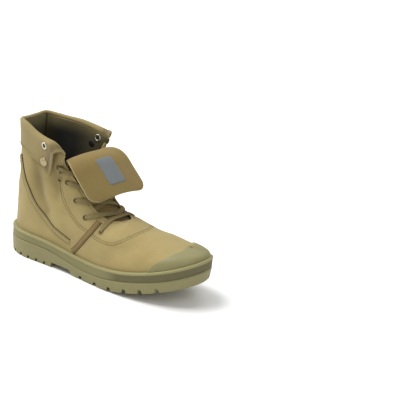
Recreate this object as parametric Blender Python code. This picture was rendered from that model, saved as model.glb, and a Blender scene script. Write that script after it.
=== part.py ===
"""Canvas lace-up boot for the right foot: a hollow upper on a lugged rubber sole, one object for each piece.

Axes: +X to the toe, +Y to the inner (medial) side, +Z up. The tables below are in millimetres, measured from the
back of the heel, and the meshes are in metres with the origin under the middle of the boot, on the floor.
"""
import math

import bmesh
import bpy
import numpy as np
from mathutils import Vector

MM = 0.001
LATERAL, MEDIAL = -1, 1
SIDE_NAMES = {LATERAL: "lateral", MEDIAL: "medial"}

GAP = 0.3                 # clearance between neighbouring pieces
WALL = 2.2                # canvas and lining of the upper
FOOT_INSET = 4.6          # from the edge of the sole in to the upper

# Sections of the sole: x, outline on each side, top of the outsole, top of the foxing band
SOLE = (
    # x, lateral, medial, seam, band
    (0, 2.0, 2.0, 23.6, 37.3),
    (7, -19.0, 23.0, 23.9, 37.2),
    (28, -34.0, 35.0, 24.6, 36.8),
    (70, -38.5, 36.5, 24.2, 35.4),
    (97, -40.0, 36.5, 21.4, 32.9),
    (125, -42.5, 37.5, 16.4, 30.0),
    (165, -49.0, 44.0, 15.0, 29.2),
    (205, -53.0, 52.0, 20.0, 33.4),
    (243, -50.5, 53.0, 28.6, 42.0),
    (277, -38.5, 46.0, 38.4, 52.4),
    (297, -19.0, 31.0, 45.5, 59.4),
    (305, 8.0, 8.0, 48.6, 62.4),
)

# Ribs of the upper run from the sole to its free edge. foot is the share of the half outline, heel to toe;
# x, y and z are where the rib ends.
CORNER, THROAT_END = 0.285, 0.610
COLLAR = {
    LATERAL: (
        # foot, x, y, z
        (0.000, 17.0, 1.0, 187.0),
        (0.040, 17.0, -13.0, 187.0),
        (0.075, 18.6, -24.5, 187.5),
        (0.112, 30.0, -31.0, 186.0),
        (0.155, 45.6, -33.5, 180.2),
        (0.215, 69.0, -35.0, 172.6),
        (0.260, 87.5, -35.5, 167.5),
        (CORNER, 98.0, -35.0, 158.4),
    ),
    MEDIAL: (
        (0.000, 17.0, 1.0, 187.0),
        (0.040, 15.9, 15.5, 187.0),
        (0.075, 17.0, 27.5, 187.2),
        (0.112, 28.0, 33.5, 185.7),
        (0.155, 46.5, 35.5, 184.7),
        (0.215, 74.0, 37.0, 183.0),
        (0.260, 100.0, 38.5, 178.0),
        (CORNER, 116.0, 38.5, 173.6),
    ),
}
THROAT = {
    LATERAL: (
        (CORNER, 98.0, -35.0, 158.4),
        (0.335, 97.8, -29.5, 142.9),
        (0.385, 112.3, -26.0, 125.7),
        (0.435, 127.4, -23.5, 108.1),
        (0.485, 143.8, -21.5, 92.5),
        (0.530, 159.8, -18.5, 83.9),
        (0.572, 175.4, -12.0, 83.3),
        (THROAT_END, 185.7, 1.5, 85.9),
    ),
    MEDIAL: (
        (CORNER, 116.0, 38.5, 173.6),
        (0.335, 109.8, 31.5, 151.6),
        (0.385, 119.6, 26.5, 130.1),
        (0.435, 134.3, 23.5, 109.0),
        (0.485, 152.3, 21.0, 93.0),
        (0.530, 166.7, 18.0, 85.8),
        (0.572, 178.8, 12.5, 84.7),
        (THROAT_END, 185.7, 1.5, 85.9),
    ),
}
RIDGE = (
    (THROAT_END, 185.7, 1.5, 85.9),
    (0.670, 202.0, 2.5, 81.0),
    (0.750, 221.3, 4.0, 76.4),
    (0.820, 239.5, 5.0, 73.3),
    (0.880, 254.7, 5.7, 71.8),
    (0.940, 266.7, 6.2, 71.1),
    (1.000, 276.8, 6.5, 70.7),
)
RIDGE_SLOPE = 0.24        # fall of the ridge that the ribs lie along where they meet it

# How a rib arrives at the collar and the throat (inwards is towards the other side), and the lengths of its two
# handles: rise as a share of the rib's height, reach as a share of its chord
ARRIVAL = (
    # foot, x, inwards, z, rise, reach
    (0.000, 0.03, -0.02, 1.0, 0.33, 0.36),
    (0.155, 0.05, -0.05, 1.0, 0.33, 0.33),
    (CORNER, 0.22, -0.06, 1.0, 0.34, 0.30),
    (0.335, 0.05, 0.10, 1.0, 0.36, 0.30),
    (0.385, -0.10, 0.25, 1.0, 0.40, 0.30),
    (0.435, -0.16, 0.42, 0.9, 0.45, 0.32),
    (0.485, -0.14, 0.66, 0.7, 0.52, 0.36),
    (0.530, -0.10, 0.85, 0.42, 0.58, 0.40),
    (0.572, -0.08, 0.96, 0.15, 0.62, 0.42),
)
RIDGE_HANDLES = (
    # foot, rise, reach
    (THROAT_END, 0.64, 0.44),
    (0.750, 0.66, 0.46),
    (0.880, 0.80, 0.50),
    (1.000, 0.74, 0.50),
)

COLUMNS = {"collar": 11, "throat": 9, "ridge": 10}   # of the upper's faces, each side
RIB_STEPS = 10

DENSE = 400               # samples along each half of the outline


def spline(knots, values, at):
    """Natural cubic spline through a short table: one value, or an array of them, at each knot."""
    knots, values, at = np.asarray(knots, float), np.asarray(values, float), np.asarray(at, float)
    count, shape = len(knots), at.shape + values.shape[1:]
    values, at = values.reshape(count, -1), at.reshape(-1)
    step = np.diff(knots)
    slopes = np.diff(values, axis=0) / step[:, None]
    matrix, right = np.eye(count), np.zeros_like(values)
    for i in range(1, count - 1):
        matrix[i, i - 1:i + 2] = step[i - 1], 2 * (step[i - 1] + step[i]), step[i]
        right[i] = 6 * (slopes[i] - slopes[i - 1])
    bend = np.linalg.solve(matrix, right)
    at = np.clip(at, knots[0], knots[-1])
    i = np.clip(np.searchsorted(knots, at, side="right") - 1, 0, count - 2)
    span, near, far = step[i][:, None], (at - knots[i])[:, None], (knots[i + 1] - at)[:, None]
    cubic = (bend[i] * far ** 3 + bend[i + 1] * near ** 3) / (6 * span)
    linear = (values[i] / span - bend[i] * span / 6) * far + (values[i + 1] / span - bend[i + 1] * span / 6) * near
    return (cubic + linear).reshape(shape)


def unit(vectors):
    return vectors / np.linalg.norm(vectors, axis=-1, keepdims=True)


def half_outlines():
    """Each half of the sole's outline, heel to toe: share of its length, point and outward normal."""
    rows = np.array(SOLE)
    ring = np.vstack([rows[:, [0, 1]], rows[-2:0:-1, [0, 2]]])
    wrap = 4
    looped = np.vstack([ring[-wrap:], ring, ring[:wrap + 1]])
    travel = np.concatenate([[0], np.cumsum(np.linalg.norm(np.diff(looped, axis=0), axis=1))])
    heel, toe, heel_again = travel[wrap], travel[wrap + len(rows) - 1], travel[wrap + len(ring)]
    halves = {}
    for side, start in ((LATERAL, heel), (MEDIAL, heel_again)):
        line = spline(travel, looped, np.linspace(start, toe, DENSE))
        along = unit(np.gradient(line, axis=0))
        outward = np.stack([-side * along[:, 1], side * along[:, 0]], axis=1)
        length = np.concatenate([[0], np.cumsum(np.linalg.norm(np.diff(line, axis=0), axis=1))])
        halves[side] = length / length[-1], line, outward, length[-1]
    return halves


OUTLINE = half_outlines()
SOLE_ROWS = np.array(SOLE)


def sole_point(side, foot, inset=0.0):
    """Point on the sole's outline, moved in by inset."""
    share, line, outward, _ = OUTLINE[side]
    flat = line - outward * inset if np.ndim(inset) == 0 else line
    point = np.stack([np.interp(foot, share, flat[:, k]) for k in (0, 1)], axis=-1)
    if np.ndim(inset):
        out = np.stack([np.interp(foot, share, outward[:, k]) for k in (0, 1)], axis=-1)
        point = point - out * np.asarray(inset)[..., None]
    return point


def seam_z(x):
    return spline(SOLE_ROWS[:, 0], SOLE_ROWS[:, 3], x)


def band_z(x):
    return spline(SOLE_ROWS[:, 0], SOLE_ROWS[:, 4], x)


def edge_point(side, foot):
    """Where the rib ends: on the collar, the throat's edge or the ridge."""
    foot = np.asarray(foot, float)
    tables = (np.array(COLLAR[side]), np.array(THROAT[side]), np.array(RIDGE))
    parts = [spline(table[:, 0], table[:, 1:], foot) for table in tables]
    foot = foot[..., None]
    return np.where(foot <= CORNER, parts[0], np.where(foot <= THROAT_END, parts[1], parts[2]))


def handles(side, foot):
    """Direction in which a rib arrives, its rise share and its reach share, all along the boot."""
    ridge_feet = np.array([row[0] for row in RIDGE])
    start, end = sole_point(side, ridge_feet, FOOT_INSET), edge_point(side, ridge_feet)
    level = end[:, :2] - start
    arrive = unit(np.column_stack([level, -RIDGE_SLOPE * level[:, 0]]))
    spans = spline([row[0] for row in RIDGE_HANDLES], [row[1:] for row in RIDGE_HANDLES], ridge_feet)
    table = np.array(ARRIVAL)
    upright = unit(table[:, 1:4] * (1, -side, 1))
    feet = np.concatenate([table[:, 0], ridge_feet])
    rows = np.vstack([np.column_stack([upright, table[:, 4:]]), np.column_stack([arrive, spans])])
    found = spline(feet, rows, foot)
    return unit(found[..., :3]), found[..., 3], found[..., 4]


def upper_point(side, foot, rise, lift=0.0):
    """Outer face of the upper. rise is -1 at the sole, 0 at the foxing's top and 1 at the free edge."""
    foot, rise = np.broadcast_arrays(np.asarray(foot, float), np.asarray(rise, float))
    base = sole_point(side, foot, FOOT_INSET)
    band = band_z(base[..., 0])
    start = np.concatenate([base, band[..., None]], axis=-1)
    end = edge_point(side, foot)
    arrive, rise_share, reach_share = handles(side, foot)
    up = (end[..., 2] - start[..., 2]) * rise_share
    first = start + up[..., None] * np.array([0.0, 0.0, 1.0])
    second = end - arrive * (np.linalg.norm(end - start, axis=-1) * reach_share)[..., None]
    t = np.clip(rise, 0, 1)[..., None]
    point = start * (1 - t) ** 3 + first * 3 * t * (1 - t) ** 2 + second * 3 * t ** 2 * (1 - t) + end * t ** 3
    below = np.clip(rise, -1, 0) * (band - seam_z(base[..., 0]) - GAP)
    point = point + below[..., None] * np.array([0.0, 0.0, 1.0])
    if np.any(lift):
        point = point + upper_normal(side, foot, rise) * np.asarray(lift, float)[..., None]
    return point


def upper_normal(side, foot, rise):
    """Outward normal of the upper, from its slopes within the same run of ribs."""
    small = 0.002
    foot, rise = np.broadcast_arrays(np.asarray(foot, float), np.asarray(rise, float))
    low = np.select([foot <= CORNER, foot <= THROAT_END], [0.0, CORNER + 1e-6], THROAT_END + 1e-6)
    high = np.select([foot <= CORNER, foot <= THROAT_END], [CORNER, THROAT_END], 1.0)
    along = upper_point(side, np.minimum(foot + small, high), rise)
    along = along - upper_point(side, np.maximum(foot - small, low), rise)
    floor = np.where(rise < 0, -1.0, 0.0)
    across = upper_point(side, foot, np.minimum(rise + small, 1))
    across = across - upper_point(side, foot, np.maximum(rise - small, floor))
    return unit(np.cross(along, across)) * -side


# ---------------------------------------------------------------- building blocks

def clear_scene():
    for thing in list(bpy.data.objects):
        bpy.data.objects.remove(thing, do_unlink=True)


def material(name, color, roughness, metallic=0.0):
    made = bpy.data.materials.new(name)
    made.use_nodes = True
    shader = made.node_tree.nodes["Principled BSDF"]
    shader.inputs["Base Color"].default_value = (*color, 1.0)
    shader.inputs["Roughness"].default_value = roughness
    shader.inputs["Metallic"].default_value = metallic
    return made


def mesh_object(name, points, faces, finish, sharp_angle=40):
    mesh = bpy.data.meshes.new(name)
    mesh.from_pydata([tuple(point) for point in np.asarray(points) * MM], [], faces)
    mesh.validate()
    mesh.update()
    mesh.shade_smooth()
    mesh.set_sharp_from_angle(angle=math.radians(sharp_angle))
    mesh.materials.append(finish)
    made = bpy.data.objects.new(name, mesh)
    bpy.context.scene.collection.objects.link(made)
    return made


def grid_faces(rows, columns, offset=0, flip=False):
    faces = []
    for i in range(rows - 1):
        for j in range(columns - 1):
            a, b = offset + i * columns + j, offset + (i + 1) * columns + j
            faces.append((a, a + 1, b + 1, b) if flip else (a, b, b + 1, a + 1))
    return faces


def slab(middle, thickness):
    """Closed sheet around a grid of points, half the thickness each side of it."""
    rows, columns = middle.shape[:2]
    normal = unit(np.cross(np.gradient(middle, axis=0), np.gradient(middle, axis=1)))
    half = np.broadcast_to(np.asarray(thickness, float) / 2, middle.shape[:2])[..., None]
    points = np.concatenate([(middle + normal * half).reshape(-1, 3), (middle - normal * half).reshape(-1, 3)])
    under = rows * columns
    faces = grid_faces(rows, columns) + grid_faces(rows, columns, under, flip=True)
    rim = [i * columns for i in range(rows)] + [(rows - 1) * columns + j for j in range(1, columns)]
    rim += [i * columns + columns - 1 for i in range(rows - 2, -1, -1)] + list(range(columns - 2, 0, -1))
    for a, b in zip(rim, rim[1:] + rim[:1]):
        faces.append((b, a, a + under, b + under))
    return points, faces


def slab_object(name, middle, thickness, finish):
    points, faces = slab(np.asarray(middle, float), thickness)
    return mesh_object(name, points, faces, finish)


def ring_faces(rings, count):
    """Faces between closed rings that follow each other, each with count points."""
    faces = []
    for k in range(rings - 1):
        for j in range(count):
            a, b = k * count + j, k * count + (j + 1) % count
            faces.append((a, b, b + count, a + count))
    return faces


def boolean(target, tool, operation):
    step = target.modifiers.new(operation.lower(), "BOOLEAN")
    step.operation = operation
    step.solver = "EXACT"
    step.object = tool
    tool.hide_render = True
    tool.display_type = "WIRE"


def cutter_finish():
    return bpy.data.materials.get("cutter") or material("cutter", (1, 0, 0), 1.0)


def prisms(name, blocks):
    """One cutter of separate blocks, each four corners in plan and heights per corner: (bottom, top)."""
    points, faces = [], []
    for corners, bottom, tops in blocks:
        start = len(points)
        points += [(x, y, bottom) for x, y in corners]
        points += [(x + dx, y + dy, z) for (x, y), (dx, dy, z) in zip(corners, tops)]
        faces.append(tuple(start + k for k in (3, 2, 1, 0)))
        faces.append(tuple(start + k for k in (4, 5, 6, 7)))
        faces += [(start + k, start + (k + 1) % 4, start + 4 + (k + 1) % 4, start + 4 + k) for k in range(4)]
    return mesh_object(name, points, faces, cutter_finish())


# ---------------------------------------------------------------- sole

SOLE_STATIONS = 34
TOE_SPRING, SPRING_START, SPRING_CURVE = 32.0, 180.0, 1.35
HEEL_BREAST, ARCH_END, ARCH_LIFT = 88.0, 126.0, 7.5
GROOVE_TOP, GROOVE_FOOT, GROOVE_HEIGHT, GROOVE_REACH = 4.5, 8.5, 5.5, 15.0
FORE_GROOVES = (144, 170, 194, 218, 241, 263)
HEEL_GROOVES = (21, 35, 49, 63, 77)
HEEL_GROOVE_WIDTH, HEEL_GROOVE_HEIGHT, HEEL_GROOVE_REACH = 4.0, 5.0, 11.0
CHANNEL_WIDTH, CHANNEL_HEIGHT = 4.0, 4.2


def ground_z(x):
    past = np.clip((np.asarray(x, float) - SPRING_START) / (SOLE[-1][0] - SPRING_START), 0, 1)
    return TOE_SPRING * past ** SPRING_CURVE


def station_feet(side):
    """Shares of the half outline at the sole's stations, closer together at heel and toe."""
    share, line, _, _ = OUTLINE[side]
    turn = np.linspace(0, math.pi, SOLE_STATIONS + 1)
    return np.interp(SOLE[-1][0] * (1 - np.cos(turn)) / 2, line[:, 0], share)


def sole_ring(inset, height):
    """Closed ring round the sole: heel, lateral side, toe, medial side. height is a function of x."""
    lateral = sole_point(LATERAL, station_feet(LATERAL), inset)
    medial = sole_point(MEDIAL, station_feet(MEDIAL), inset)[-2:0:-1]
    plan = np.vstack([lateral, medial])
    return np.column_stack([plan, height(plan[:, 0])])


def ladder_faces(offset, flip):
    """Cap across a ring, lateral to medial, in strips."""
    count = 2 * SOLE_STATIONS
    faces = []
    for i in range(SOLE_STATIONS):
        loop = [i, i + 1, (count - i - 1) % count, (count - i) % count]
        loop = [offset + k for n, k in enumerate(loop) if k not in loop[:n]]
        faces.append(tuple(loop[::-1]) if flip else tuple(loop))
    return faces


def sole_loft(name, rings, finish):
    """Solid through rings given from the bottom to the top."""
    count = 2 * SOLE_STATIONS
    faces = ring_faces(len(rings), count)
    faces += ladder_faces(0, True) + ladder_faces((len(rings) - 1) * count, False)
    return mesh_object(name, np.vstack(rings), faces, finish)


def make_outsole(finish):
    rings = [
        sole_ring(3.0, ground_z),
        sole_ring(1.6, lambda x: ground_z(x) + 1.6),
        sole_ring(0.0, lambda x: seam_z(x) - 2.0),
        sole_ring(0.9, seam_z),
    ]
    outsole = sole_loft("outsole", rings, finish)
    below = -4.0
    arch = [((HEEL_BREAST, -80), (ARCH_END + 6, -80), (ARCH_END + 6, 80), (HEEL_BREAST, 80))]
    rise = ((1.5, 0, ARCH_LIFT), (-11, 0, ARCH_LIFT - 0.5), (-11, 0, ARCH_LIFT - 0.5), (1.5, 0, ARCH_LIFT))
    boolean(outsole, prisms("arch_cutter", [(arch[0], below, rise)]), "DIFFERENCE")
    slots = []
    for x in FORE_GROOVES:
        lean, floor = 3.0, float(ground_z(x))
        for side in (LATERAL, MEDIAL):
            edge = float(np.interp(x, SOLE_ROWS[:, 0], SOLE_ROWS[:, 1 if side == LATERAL else 2]))
            inner = edge - side * GROOVE_REACH
            outer = edge + side * 12
            half, top = GROOVE_FOOT / 2, GROOVE_TOP / 2 - GROOVE_FOOT / 2
            corners = [(x - half, outer), (x + half, outer), (x + half - lean, inner), (x - half - lean, inner)]
            tops = [(-top, 0, 0), (top, 0, 0), (top, 0, 0), (-top, 0, 0)]
            tops = [(dx, dy, floor + GROOVE_HEIGHT) for dx, dy, _ in tops]
            if side == LATERAL:
                slots.append((corners, floor - 6, tops))
            else:
                slots.append((corners[::-1], floor - 6, tops[::-1]))
    for x in HEEL_GROOVES:
        for side in (LATERAL, MEDIAL):
            edge = float(np.interp(x, SOLE_ROWS[:, 0], SOLE_ROWS[:, 1 if side == LATERAL else 2]))
            inner, outer, half = edge - side * HEEL_GROOVE_REACH, edge + side * 12, HEEL_GROOVE_WIDTH / 2
            corners = [(x - half, outer), (x + half, outer), (x + half, inner), (x - half, inner)]
            tops = [(0, 0, HEEL_GROOVE_HEIGHT)] * 4
            slots.append((corners if side == LATERAL else corners[::-1], below, tops))
    boolean(outsole, prisms("side_groove_cutter", slots), "DIFFERENCE")
    channels = []
    for side in (LATERAL, MEDIAL):
        near, far = 19.0 * side, 27.0 * side
        half = CHANNEL_WIDTH / 2
        corners = [(ARCH_END - 6, near - half), (205, far - half), (205, far + half), (ARCH_END - 6, near + half)]
        channels.append((corners, below, [(0, 0, CHANNEL_HEIGHT)] * 4))
    boolean(outsole, prisms("channel_cutter", channels), "DIFFERENCE")
    crossings = []
    for x in (132, 157, 182):
        half = CHANNEL_WIDTH / 2
        corners = [(x - half, -18), (x + half, -18), (x + half, 18), (x - half, 18)]
        crossings.append((corners, below, [(0, 0, CHANNEL_HEIGHT - 0.7)] * 4))
    boolean(outsole, prisms("crossing_cutter", crossings), "DIFFERENCE")
    return outsole


RIB_PITCH, RIB_DEPTH, RIB_START, RIB_SHEAR = 6.0, 0.8, 0.60, 1.7
FOXING_SECTION = (
    # inset, share of the band's height, offset in z, takes the ribs
    (FOOT_INSET - GAP, 0, GAP, 0),
    (0.6, 0, GAP + 0.2, 1),
    (0.5, 1, -3.4, 1),
    (0.0, 1, -2.6, 0),
    (0.7, 1, 0, 0),
    (FOOT_INSET - GAP, 1, 0, 0),
)


def make_foxing(finish):
    """Rubber band round the joint, with slanted ribs round the toe and a smooth lip along its top."""
    feet = upper_columns()
    stations = []
    for side in (LATERAL, MEDIAL):
        length = OUTLINE[side][3]
        ribs = int((1 - RIB_START) * length / RIB_PITCH)
        plain = feet[feet < RIB_START - 0.01]
        ribbed = np.linspace(RIB_START, 1, 2 * ribs + 1)
        columns = [(side, foot, 0.0, 0.0) for foot in plain]
        columns += [(side, foot, RIB_DEPTH * (n % 2), RIB_SHEAR / length) for n, foot in enumerate(ribbed)]
        stations.append(columns)
    around = stations[0] + stations[1][-2:0:-1]
    points = []
    for side, foot, depth, shear in around:
        for inset, share, dz, ribbed in FOXING_SECTION:
            fade = np.clip((foot - RIB_START) / 0.03, 0, 1) * np.clip((0.995 - foot) / 0.01, 0, 1)
            slip = shear * (1 if share == 0 else -1) * ribbed * fade
            x, y = sole_point(side, foot + slip, inset + depth * ribbed)
            base = float(seam_z(x)), float(band_z(x))
            points.append((x, y, base[0] + share * (base[1] - base[0]) + dz))
    rows, columns = len(around), len(FOXING_SECTION)
    faces = []
    for i in range(rows):
        for j in range(columns):
            a, b = i * columns + j, ((i + 1) % rows) * columns + j
            c, d = ((i + 1) % rows) * columns + (j + 1) % columns, i * columns + (j + 1) % columns
            faces.append((a, b, c, d))
    return mesh_object("foxing", points, faces, finish, 30)


INSOLE_THICK = 3.0


def make_insole(finish):
    inset = FOOT_INSET + WALL + 0.8
    rings = [
        sole_ring(inset, lambda x: seam_z(x) + GAP),
        sole_ring(inset, lambda x: seam_z(x) + GAP + INSOLE_THICK - 0.8),
        sole_ring(inset + 0.8, lambda x: seam_z(x) + GAP + INSOLE_THICK),
    ]
    return sole_loft("insole", rings, finish)


# ---------------------------------------------------------------- upper and its overlays

EYELETS = {
    LATERAL: (
        # foot, rise, foot where its laces pass the throat's edge
        (0.274, 0.812, 0.342),
        (0.352, 0.846, 0.388),
        (0.394, 0.744, 0.437),
        (0.450, 0.688, 0.492),
        (0.532, 0.669, 0.545),
    ),
    MEDIAL: (
        (0.276, 0.722, 0.361),
        (0.347, 0.810, 0.388),
        (0.392, 0.720, 0.437),
        (0.450, 0.670, 0.492),
        (0.532, 0.650, 0.545),
    ),
}
EYELET_HOLE, EYELET_OUTER, EYELET_THICK, EYELET_SIDES = 2.4, 4.3, 0.8, 10
EYELET_SEAT = 0.75        # flat washers stand off the curved upper


def upper_columns():
    feet = [np.linspace(0, CORNER, COLUMNS["collar"], endpoint=False)]
    feet.append(np.linspace(CORNER, THROAT_END, COLUMNS["throat"], endpoint=False))
    feet.append(np.linspace(THROAT_END, 1, COLUMNS["ridge"] + 1))
    return np.concatenate(feet)


def make_upper(finish):
    """Vamp, quarters and shaft in one skin, open at the collar, the throat and the sole."""
    feet = upper_columns()
    rises = np.concatenate([[-1.0], np.linspace(0, 1, RIB_STEPS + 1)])
    first_ridge = COLUMNS["collar"] + COLUMNS["throat"]
    mesh = bmesh.new()
    corners = {}
    for side in (LATERAL, MEDIAL):
        grid = upper_point(side, feet[:, None], rises[None, :]) * MM
        for i in range(len(feet)):
            for j in range(len(rises)):
                shared = i in (0, len(feet) - 1) or (j == len(rises) - 1 and i >= first_ridge)
                key = (0 if shared else side, i, j)
                if key not in corners:
                    corners[key] = mesh.verts.new(grid[i, j])
                corners[(side, i, j)] = corners[key]
        for i in range(len(feet) - 1):
            for j in range(len(rises) - 1):
                loop = [corners[(side, a, b)] for a, b in ((i, j), (i + 1, j), (i + 1, j + 1), (i, j + 1))]
                mesh.faces.new(loop if side == LATERAL else loop[::-1])
    data = bpy.data.meshes.new("upper")
    mesh.to_mesh(data)
    mesh.free()
    data.shade_smooth()
    data.set_sharp_from_angle(angle=math.radians(50))
    data.materials.append(finish)
    upper = bpy.data.objects.new("upper", data)
    bpy.context.scene.collection.objects.link(upper)
    wall = upper.modifiers.new("wall", "SOLIDIFY")
    wall.thickness = WALL * MM
    wall.offset = -1
    wall.use_rim = True
    spots = [(side, foot, rise) for side in (LATERAL, MEDIAL) for foot, rise, _ in EYELETS[side]]
    bores = [(upper_point(*spot), upper_normal(*spot), EYELET_HOLE, 2 * WALL) for spot in spots]
    boolean(upper, pins("eyelet_cutter", bores), "DIFFERENCE")
    return upper


def turned(profile, centre, normal, sides):
    """Points of a profile of radius and height, turned about a normal through centre: one row for each side."""
    turn = np.array(Vector(normal).to_track_quat("Z", "Y").to_matrix())
    rows = []
    for angle in np.arange(sides) * 2 * math.pi / sides:
        spots = [(radius * math.cos(angle), radius * math.sin(angle), height) for radius, height in profile]
        rows.append(centre + np.array(spots) @ turn.T)
    return np.array(rows)


def pins(name, bores):
    """One cutter of separate round pins: centre, direction, radius and half length of each."""
    points, faces = [], []
    for centre, normal, radius, half in bores:
        rows = turned(((radius, -half), (radius, half)), centre, normal, EYELET_SIDES)
        start = 2 * EYELET_SIDES * (len(points))
        points.append(rows.reshape(-1, 3))
        for k in range(EYELET_SIDES):
            a, b = start + 2 * k, start + 2 * ((k + 1) % EYELET_SIDES)
            faces.append((a, b, b + 1, a + 1))
        faces.append(tuple(start + 2 * k for k in range(EYELET_SIDES))[::-1])
        faces.append(tuple(start + 2 * k + 1 for k in range(EYELET_SIDES)))
    return mesh_object(name, np.concatenate(points), faces, cutter_finish())


def washer(name, centre, normal, hole, outer, thickness, finish):
    """Flat ring whose lower face stands at centre."""
    profile = ((hole, 0), (outer, 0), (outer - 0.2, thickness), (hole, thickness))
    rows = turned(profile, centre, normal, EYELET_SIDES)
    faces, count = [], len(profile)
    for k in range(EYELET_SIDES):
        for j in range(count):
            a, b = k * count, (k + 1) % EYELET_SIDES * count
            faces.append((a + j, b + j, b + (j + 1) % count, a + (j + 1) % count))
    return mesh_object(name, rows.reshape(-1, 3), faces, finish)


def make_eyelets(finish):
    for side in (LATERAL, MEDIAL):
        for number, (foot, rise, _) in enumerate(EYELETS[side], 1):
            centre, normal = upper_point(side, foot, rise), upper_normal(side, foot, rise)
            name = f"eyelet_{SIDE_NAMES[side]}_{number}"
            washer(name, centre + normal * EYELET_SEAT, normal, EYELET_HOLE, EYELET_OUTER, EYELET_THICK, finish)


CAP_START, CAP_THICK, CAP_SEAT, CAP_RAISE = 0.752, 1.5, 1.0, 1.2
CAP_EDGE = (
    # foot, rise of the cap's edge
    (CAP_START, 0.04),
    (0.774, 0.17),
    (0.802, 0.29),
    (0.864, 0.55),
    (0.914, 0.77),
    (0.960, 0.93),
    (1.000, 0.94),
)


def make_toe_cap(finish):
    """Rubber cap over the toe: lateral ribs, then the medial ones back."""
    feet = np.linspace(CAP_START, 1, 11)
    top = spline([row[0] for row in CAP_EDGE], [row[1] for row in CAP_EDGE], feet)
    shares = np.linspace(0, 1, 6)
    middle = []
    for side in (LATERAL, MEDIAL):
        rises = top[:, None] * shares[None, :]
        grid = upper_point(side, feet[:, None], rises, np.full(rises.shape, CAP_SEAT + CAP_THICK / 2))
        grid[:, 0, 2] += CAP_RAISE
        middle.append(grid)
    middle[0][-1] = (middle[0][-1] + middle[1][-1]) / 2
    both = np.concatenate([middle[0], middle[1][-2::-1]])
    return slab_object("toe_cap", both, CAP_THICK, finish)


BAND_WIDTH, BAND_THICK, BAND_SEAT = 7.0, 0.8, 0.95
HEEL_SEAM = {
    LATERAL: (
        # foot, rise
        (0.086, 0.700),
        (0.126, 0.520),
        (0.196, 0.325),
        (0.246, 0.232),
        (0.298, 0.166),
        (0.384, 0.120),
    ),
    MEDIAL: (
        (0.090, 0.700),
        (0.112, 0.506),
        (0.160, 0.344),
        (0.224, 0.238),
        (0.326, 0.172),
        (0.410, 0.112),
    ),
}
SIDE_TAPE = {
    LATERAL: ((0.400, 0.030), (0.424, 0.131), (0.460, 0.350), (0.494, 0.638), (0.512, 0.880)),
    MEDIAL: ((0.434, 0.030), (0.446, 0.100), (0.464, 0.250), (0.487, 0.560), (0.510, 0.860)),
}


def strip(name, side, rows, finish, steps=11):
    """Raised band along a path on the upper."""
    rows = np.array(rows)
    travel = np.linspace(0, 1, len(rows))
    path = spline(travel, rows, np.linspace(0, 1, steps))
    centre = upper_point(side, path[:, 0], path[:, 1])
    normal = upper_normal(side, path[:, 0], path[:, 1])
    across = unit(np.cross(normal, unit(np.gradient(centre, axis=0))))
    lifted = centre + normal * (BAND_SEAT + BAND_THICK / 2)
    grid = np.stack([lifted + across * BAND_WIDTH / 2 * share for share in (-1, 1)], axis=1)
    return slab_object(name, grid, BAND_THICK, finish)


# ---------------------------------------------------------------- cuff

CUFF_WALL = 2.0
CUFF_COLUMNS, CUFF_ARC, CUFF_LEG = 15, 6, 4
CUFF = {
    LATERAL: (
        # foot, radius of the roll, depth of the flap, lift of its lower edge, drift back in the roll
        (0.000, 1.7, 33.5, 1.8, 0.000),
        (0.080, 1.8, 32.5, 1.4, 0.000),
        (0.165, 2.5, 34.5, 1.8, 0.000),
        (0.230, 4.0, 37.0, 2.6, 0.010),
        (0.262, 5.2, 41.0, 3.2, 0.018),
        (CORNER, 6.2, 43.0, 3.6, 0.026),
    ),
    MEDIAL: (
        (0.000, 1.7, 33.5, 1.8, 0.000),
        (0.080, 1.8, 35.0, 1.8, 0.000),
        (0.165, 2.5, 36.0, 2.2, 0.000),
        (0.230, 3.4, 36.0, 2.8, 0.002),
        (0.262, 4.2, 32.0, 3.3, 0.004),
        (CORNER, 5.6, 26.0, 3.6, 0.006),
    ),
}


def cuff_middle(side, feet):
    """Middle of the cuff's wall: up from the collar, over the roll and down the outside."""
    table = np.array(CUFF[side])
    radius, depth, low_lift, drift = spline(table[:, 0], table[:, 1:], feet).T
    arrive, _, _ = handles(side, feet)
    normal = upper_normal(side, feet, np.ones_like(feet))
    end, outer_end = edge_point(side, feet), edge_point(side, feet - drift)
    start = end - normal * (WALL / 2)
    centre = start + normal * radius[:, None] + arrive * (GAP + 1.2)
    back = (outer_end - end) * (1, 1, 0)
    rows = [start + arrive * (GAP + 0.1)]
    for angle in np.linspace(0, math.pi, CUFF_ARC):
        inward, upward = radius * math.cos(angle), radius * math.sin(angle)
        turned_to = centre - normal * inward[:, None] + arrive * upward[:, None]
        rows.append(turned_to + back * (1 - math.cos(angle)) / 2)
    length = np.linalg.norm(outer_end - upper_point(side, feet - drift, np.zeros_like(feet)), axis=-1)
    sunk = outer_end[:, 2] - rows[-1][:, 2]
    leg_rows = []
    for share in np.linspace(0, 1, CUFF_LEG + 1):
        rise = np.minimum(1 - (sunk + (depth - sunk) * share) / length, 1)
        lift = low_lift + (2 * radius - WALL / 2 - low_lift) * (1 - share) ** 1.6
        leg_rows.append(upper_point(side, feet - drift, rise, lift))
        if share:
            rows.append(leg_rows[-1] + (rows[CUFF_ARC] - leg_rows[0]) * (1 - share) ** 2)
    return np.stack(rows, axis=1)


CUFF_GROMMET, CUFF_SNAP = (0.230, 0.12), (0.234, 0.78)      # foot, share of the way down the flap
GROMMET_HOLE, GROMMET_OUTER, GROMMET_THICK = 3.0, 5.2, 0.9
FASTENER_SEAT = 0.8       # of the grommets and snaps over the cuff
SNAP_PROFILE = ((6.3, 0), (6.3, 1.0), (4.8, 1.9))       # radius and height, from the cuff outwards


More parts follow.
